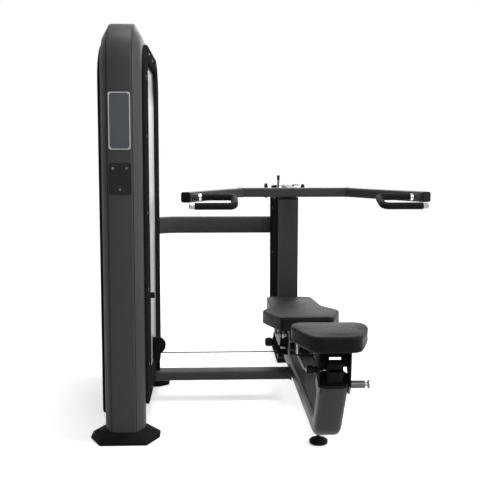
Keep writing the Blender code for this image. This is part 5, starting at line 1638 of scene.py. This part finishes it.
@dataclass(frozen=True)
class ColumnTrim:
    """Plate, weld, cover screws and anchors of the brace and the column."""

    cover_edge: float = 0.016
    cover_foot: float = 0.04
    cover_top: float = 0.05
    anchor_x: float = 0.032
    anchor_y: float = 1.40
    plate_half: Pair = (0.0415, 0.078)
    plate: float = 0.0065
    plate_bolts: Pair = (0.025, 0.064)
    weld_width: float = 0.060
    weld_corner: float = 0.012
    weld_radius: float = 0.0032
    weld_inset: float = 0.0015

    def build(self) -> None:
        """Build the column's fittings."""
        self.brace_plate()
        self.brace_weld()
        spots = []
        for label, side in SIDES:
            low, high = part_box(f"column_cover_{label}")
            x = (low.x if side < 0 else high.x) - side * SUNK
            levels = (low.z + self.cover_foot, (low.z + high.z) / 2, high.z - self.cover_top)
            spots += [aim((x, y, z), (side, 0, 0)) for z in levels
                      for y in (low.y + self.cover_edge, high.y - self.cover_edge)]
        placed(screw("cover_screw", 0.0052, 0.0026), spots)
        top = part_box("column_foot")[1].z
        placed(bolt("column_anchor", 0.008, 0.008),
               [aim((BENCH_X + x, self.anchor_y, top), UP) for x in (-self.anchor_x, self.anchor_x)])

    def brace_plate(self) -> None:
        """The brace's bolted plate at the tower."""
        low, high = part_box("upper_brace")
        mid_z, face = (low.z + high.z) / 2, low.y + self.plate
        x, z = self.plate_half
        dressed(slab("brace_plate", (-x, low.y + SUNK, mid_z - z), (x, face, mid_z + z), 0.0015))
        x, z = self.plate_bolts
        placed(bolt("brace_bolt", 0.0065, 0.007),
               [aim((dx, face, mid_z + dz), FAR) for dx in (-x, x) for dz in (-z, z)])

    def brace_weld(self) -> None:
        """The weld where the brace meets the spine."""
        low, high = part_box("upper_brace")
        mid_z, mid_y = (low.z + high.z) / 2, high.y - self.weld_width / 2
        loop = rounded_loop(high.z - low.z, self.weld_width, self.weld_corner)
        points = [(high.x - self.weld_inset, mid_y + v, mid_z + u) for u, v in loop]
        dressed(bead("brace_weld", points, self.weld_radius))


@dataclass(frozen=True)
class PressTrim:
    """Washers, flange, welds, collars, plugs, cable anchor and lever tip of the press arm."""

    pivot_y: float = 1.45
    pivot_z: float = 0.98
    bar_y: float = 0.9055
    arm_z: float = 0.992
    bar: float = 0.048
    flange_front: float = 0.0245
    flange_half: Pair = (0.034, 0.0238)
    flange_plate: float = 0.006
    flange_bolt_x: float = 0.029
    corner_x: float = 0.282
    outer: Pair = (0.552, 0.370)
    weld_corner: float = 0.009
    weld_radius: float = 0.0016
    collar: Pair = (0.4873, 0.385)
    plug: Place = (0.5335, 0.270, 0.957)
    ferrule: Place = (0.733, -0.1428, -0.046)
    clamp: Pair = (0.7415, -0.126)
    clamp_levels: Pair = (-0.006, 0.012)
    lever_pivot: float = 0.998
    sleeve: float = 0.030
    sleeve_side: float = 0.0012
    sleeve_half: float = 0.0088

    def build(self) -> None:
        """Build the arm's fittings."""
        self.shaft_washers()
        self.stem_joint()
        self.corner_welds()
        self.handle_collars()
        self.cable_anchor()
        self.lever_tip()

    def shaft_washers(self) -> None:
        """The washer in each end disc of the shaft."""
        profile = [(0.020, -0.0004), (0.020, 0.0015), (0.0185, 0.0022), (0.012, 0.0022)]
        low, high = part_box("pivot_shaft")
        for (label, side), x in zip(SIDES, (low.x, high.x)):
            spot = aim((x - side * SUNK, self.pivot_y, self.pivot_z), (side, 0, 0))
            placed(turned(f"shaft_washer_{label}", profile, 26), [spot], body=Body.DRIVE)

    def stem_joint(self) -> None:
        """The bolted flange between stem and yoke."""
        y = self.bar_y + self.flange_front
        face = y + self.flange_plate
        x, z = self.flange_half
        dressed(slab("stem_flange", (BENCH_X - x, y, self.arm_z - z), (BENCH_X + x, face, self.arm_z + z), 0.0012),
                body=Body.ARM)
        placed(bolt("stem_bolt", 0.0032, 0.005),
               [aim((BENCH_X + dx, face, self.arm_z), FAR) for dx in (-self.flange_bolt_x, self.flange_bolt_x)],
               body=Body.ARM)

    def corner_welds(self) -> None:
        """Ground beads round the yoke's two mitres."""
        stem = Vector((BENCH_X, self.bar_y, self.arm_z))
        for label, side in SIDES:
            corner = Vector((BENCH_X + side * self.corner_x, self.bar_y, self.arm_z))
            outer = Vector((BENCH_X + side * self.outer[0], self.outer[1], self.arm_z))
            across = ((stem - corner).normalized() + (outer - corner).normalized()).normalized()
            loop = rounded_loop(self.bar / abs(across.dot(Vector((0, 1, 0)))), self.bar, self.weld_corner)
            points = [corner + across * u + Vector((0, 0, v)) for u, v in loop]
            dressed(bead(f"mitre_weld_{label}", points, self.weld_radius), body=Body.ARM)

    def handle_collars(self) -> None:
        """Bright collars at the grips' inner ends and plugs in the tips."""
        collar = [(0.0140, -0.0070), (0.0158, -0.0060), (0.0158, 0.0060), (0.0140, 0.0070)]
        plug = [(0.0098, -0.001), (0.0098, 0.0010), (0.0088, 0.0018), (0.003, 0.0022)]
        for label, side in SIDES:
            out = (side, 0, 0)
            x, y = self.collar
            placed(turned(f"handle_collar_{label}", collar, 24), [aim((BENCH_X + side * x, y, self.arm_z), out)],
                   Paint.CHROME, Body.ARM)
            x, y, z = self.plug
            placed(turned(f"handle_plug_{label}", plug), [aim((BENCH_X + side * x, y, z), out)],
                   Paint.PLASTIC, Body.ARM)

    def cable_anchor(self) -> None:
        """The cam's clamp and the cable's swaged end in it."""
        profile = [(0.0042, 0.0), (0.0052, 0.004), (0.0052, 0.034), (0.0075, 0.036), (0.0075, 0.041), (0.0040, 0.042)]
        x, dy, dz = self.ferrule
        placed(turned("cam_ferrule", profile, 16), [aim((x, self.pivot_y + dy, self.pivot_z + dz), UP)],
               Paint.ZINC, Body.DRIVE)
        x, dy = self.clamp
        spots = [aim((x, self.pivot_y + dy, self.pivot_z + dz), RIGHT) for dz in self.clamp_levels]
        placed(screw("cam_clamp_screw", 0.005, 0.003), spots, Paint.ZINC, body=Body.DRIVE)

    def lever_tip(self) -> None:
        """The pivot screw and a soft tip on the start lever."""
        low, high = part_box("start_lever")
        y = (low.y + high.y) / 2
        placed(screw("lever_screw", 0.0055, 0.003), [aim((low.x + SUNK, y, self.lever_pivot), LEFT)], body=Body.LEVER)
        sleeve = slab("lever_sleeve", (low.x - self.sleeve_side, y - self.sleeve_half, high.z - self.sleeve),
                      (high.x + self.sleeve_side, y + self.sleeve_half, high.z - 0.0005), 0.003)
        dressed(sleeve, Paint.RUBBER, Body.LEVER)


def main() -> None:
    """Dress the machine piece by piece and report each step."""
    logging.basicConfig(level=logging.INFO, format="%(name)s: %(message)s")
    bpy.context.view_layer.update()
    LOG.info("dressed %d packed nodes", dress_nodes())
    LOG.info("eased %d packed nodes", EasedShapes().build())
    for cushion in (Cushion("seat_pad", Body.SEAT, 0.0, 0.063, voxel=0.005),
                    Cushion("back_pad", Body.BACK, math.radians(3.7), 0.067)):
        cushion.build()
        LOG.info("upholstered %s", cushion.node)
    for trim in (TowerTrim(), StackTrim(), WheelCaps(), BenchTrim(), SeatTrim(), BackTrim(), ColumnTrim(), PressTrim()):
        trim.build()
        LOG.info("built %s", type(trim).__name__)
    Studio().build()
    LOG.info("camera, lights and floor are in place")


if __name__ == "__main__":
    main()
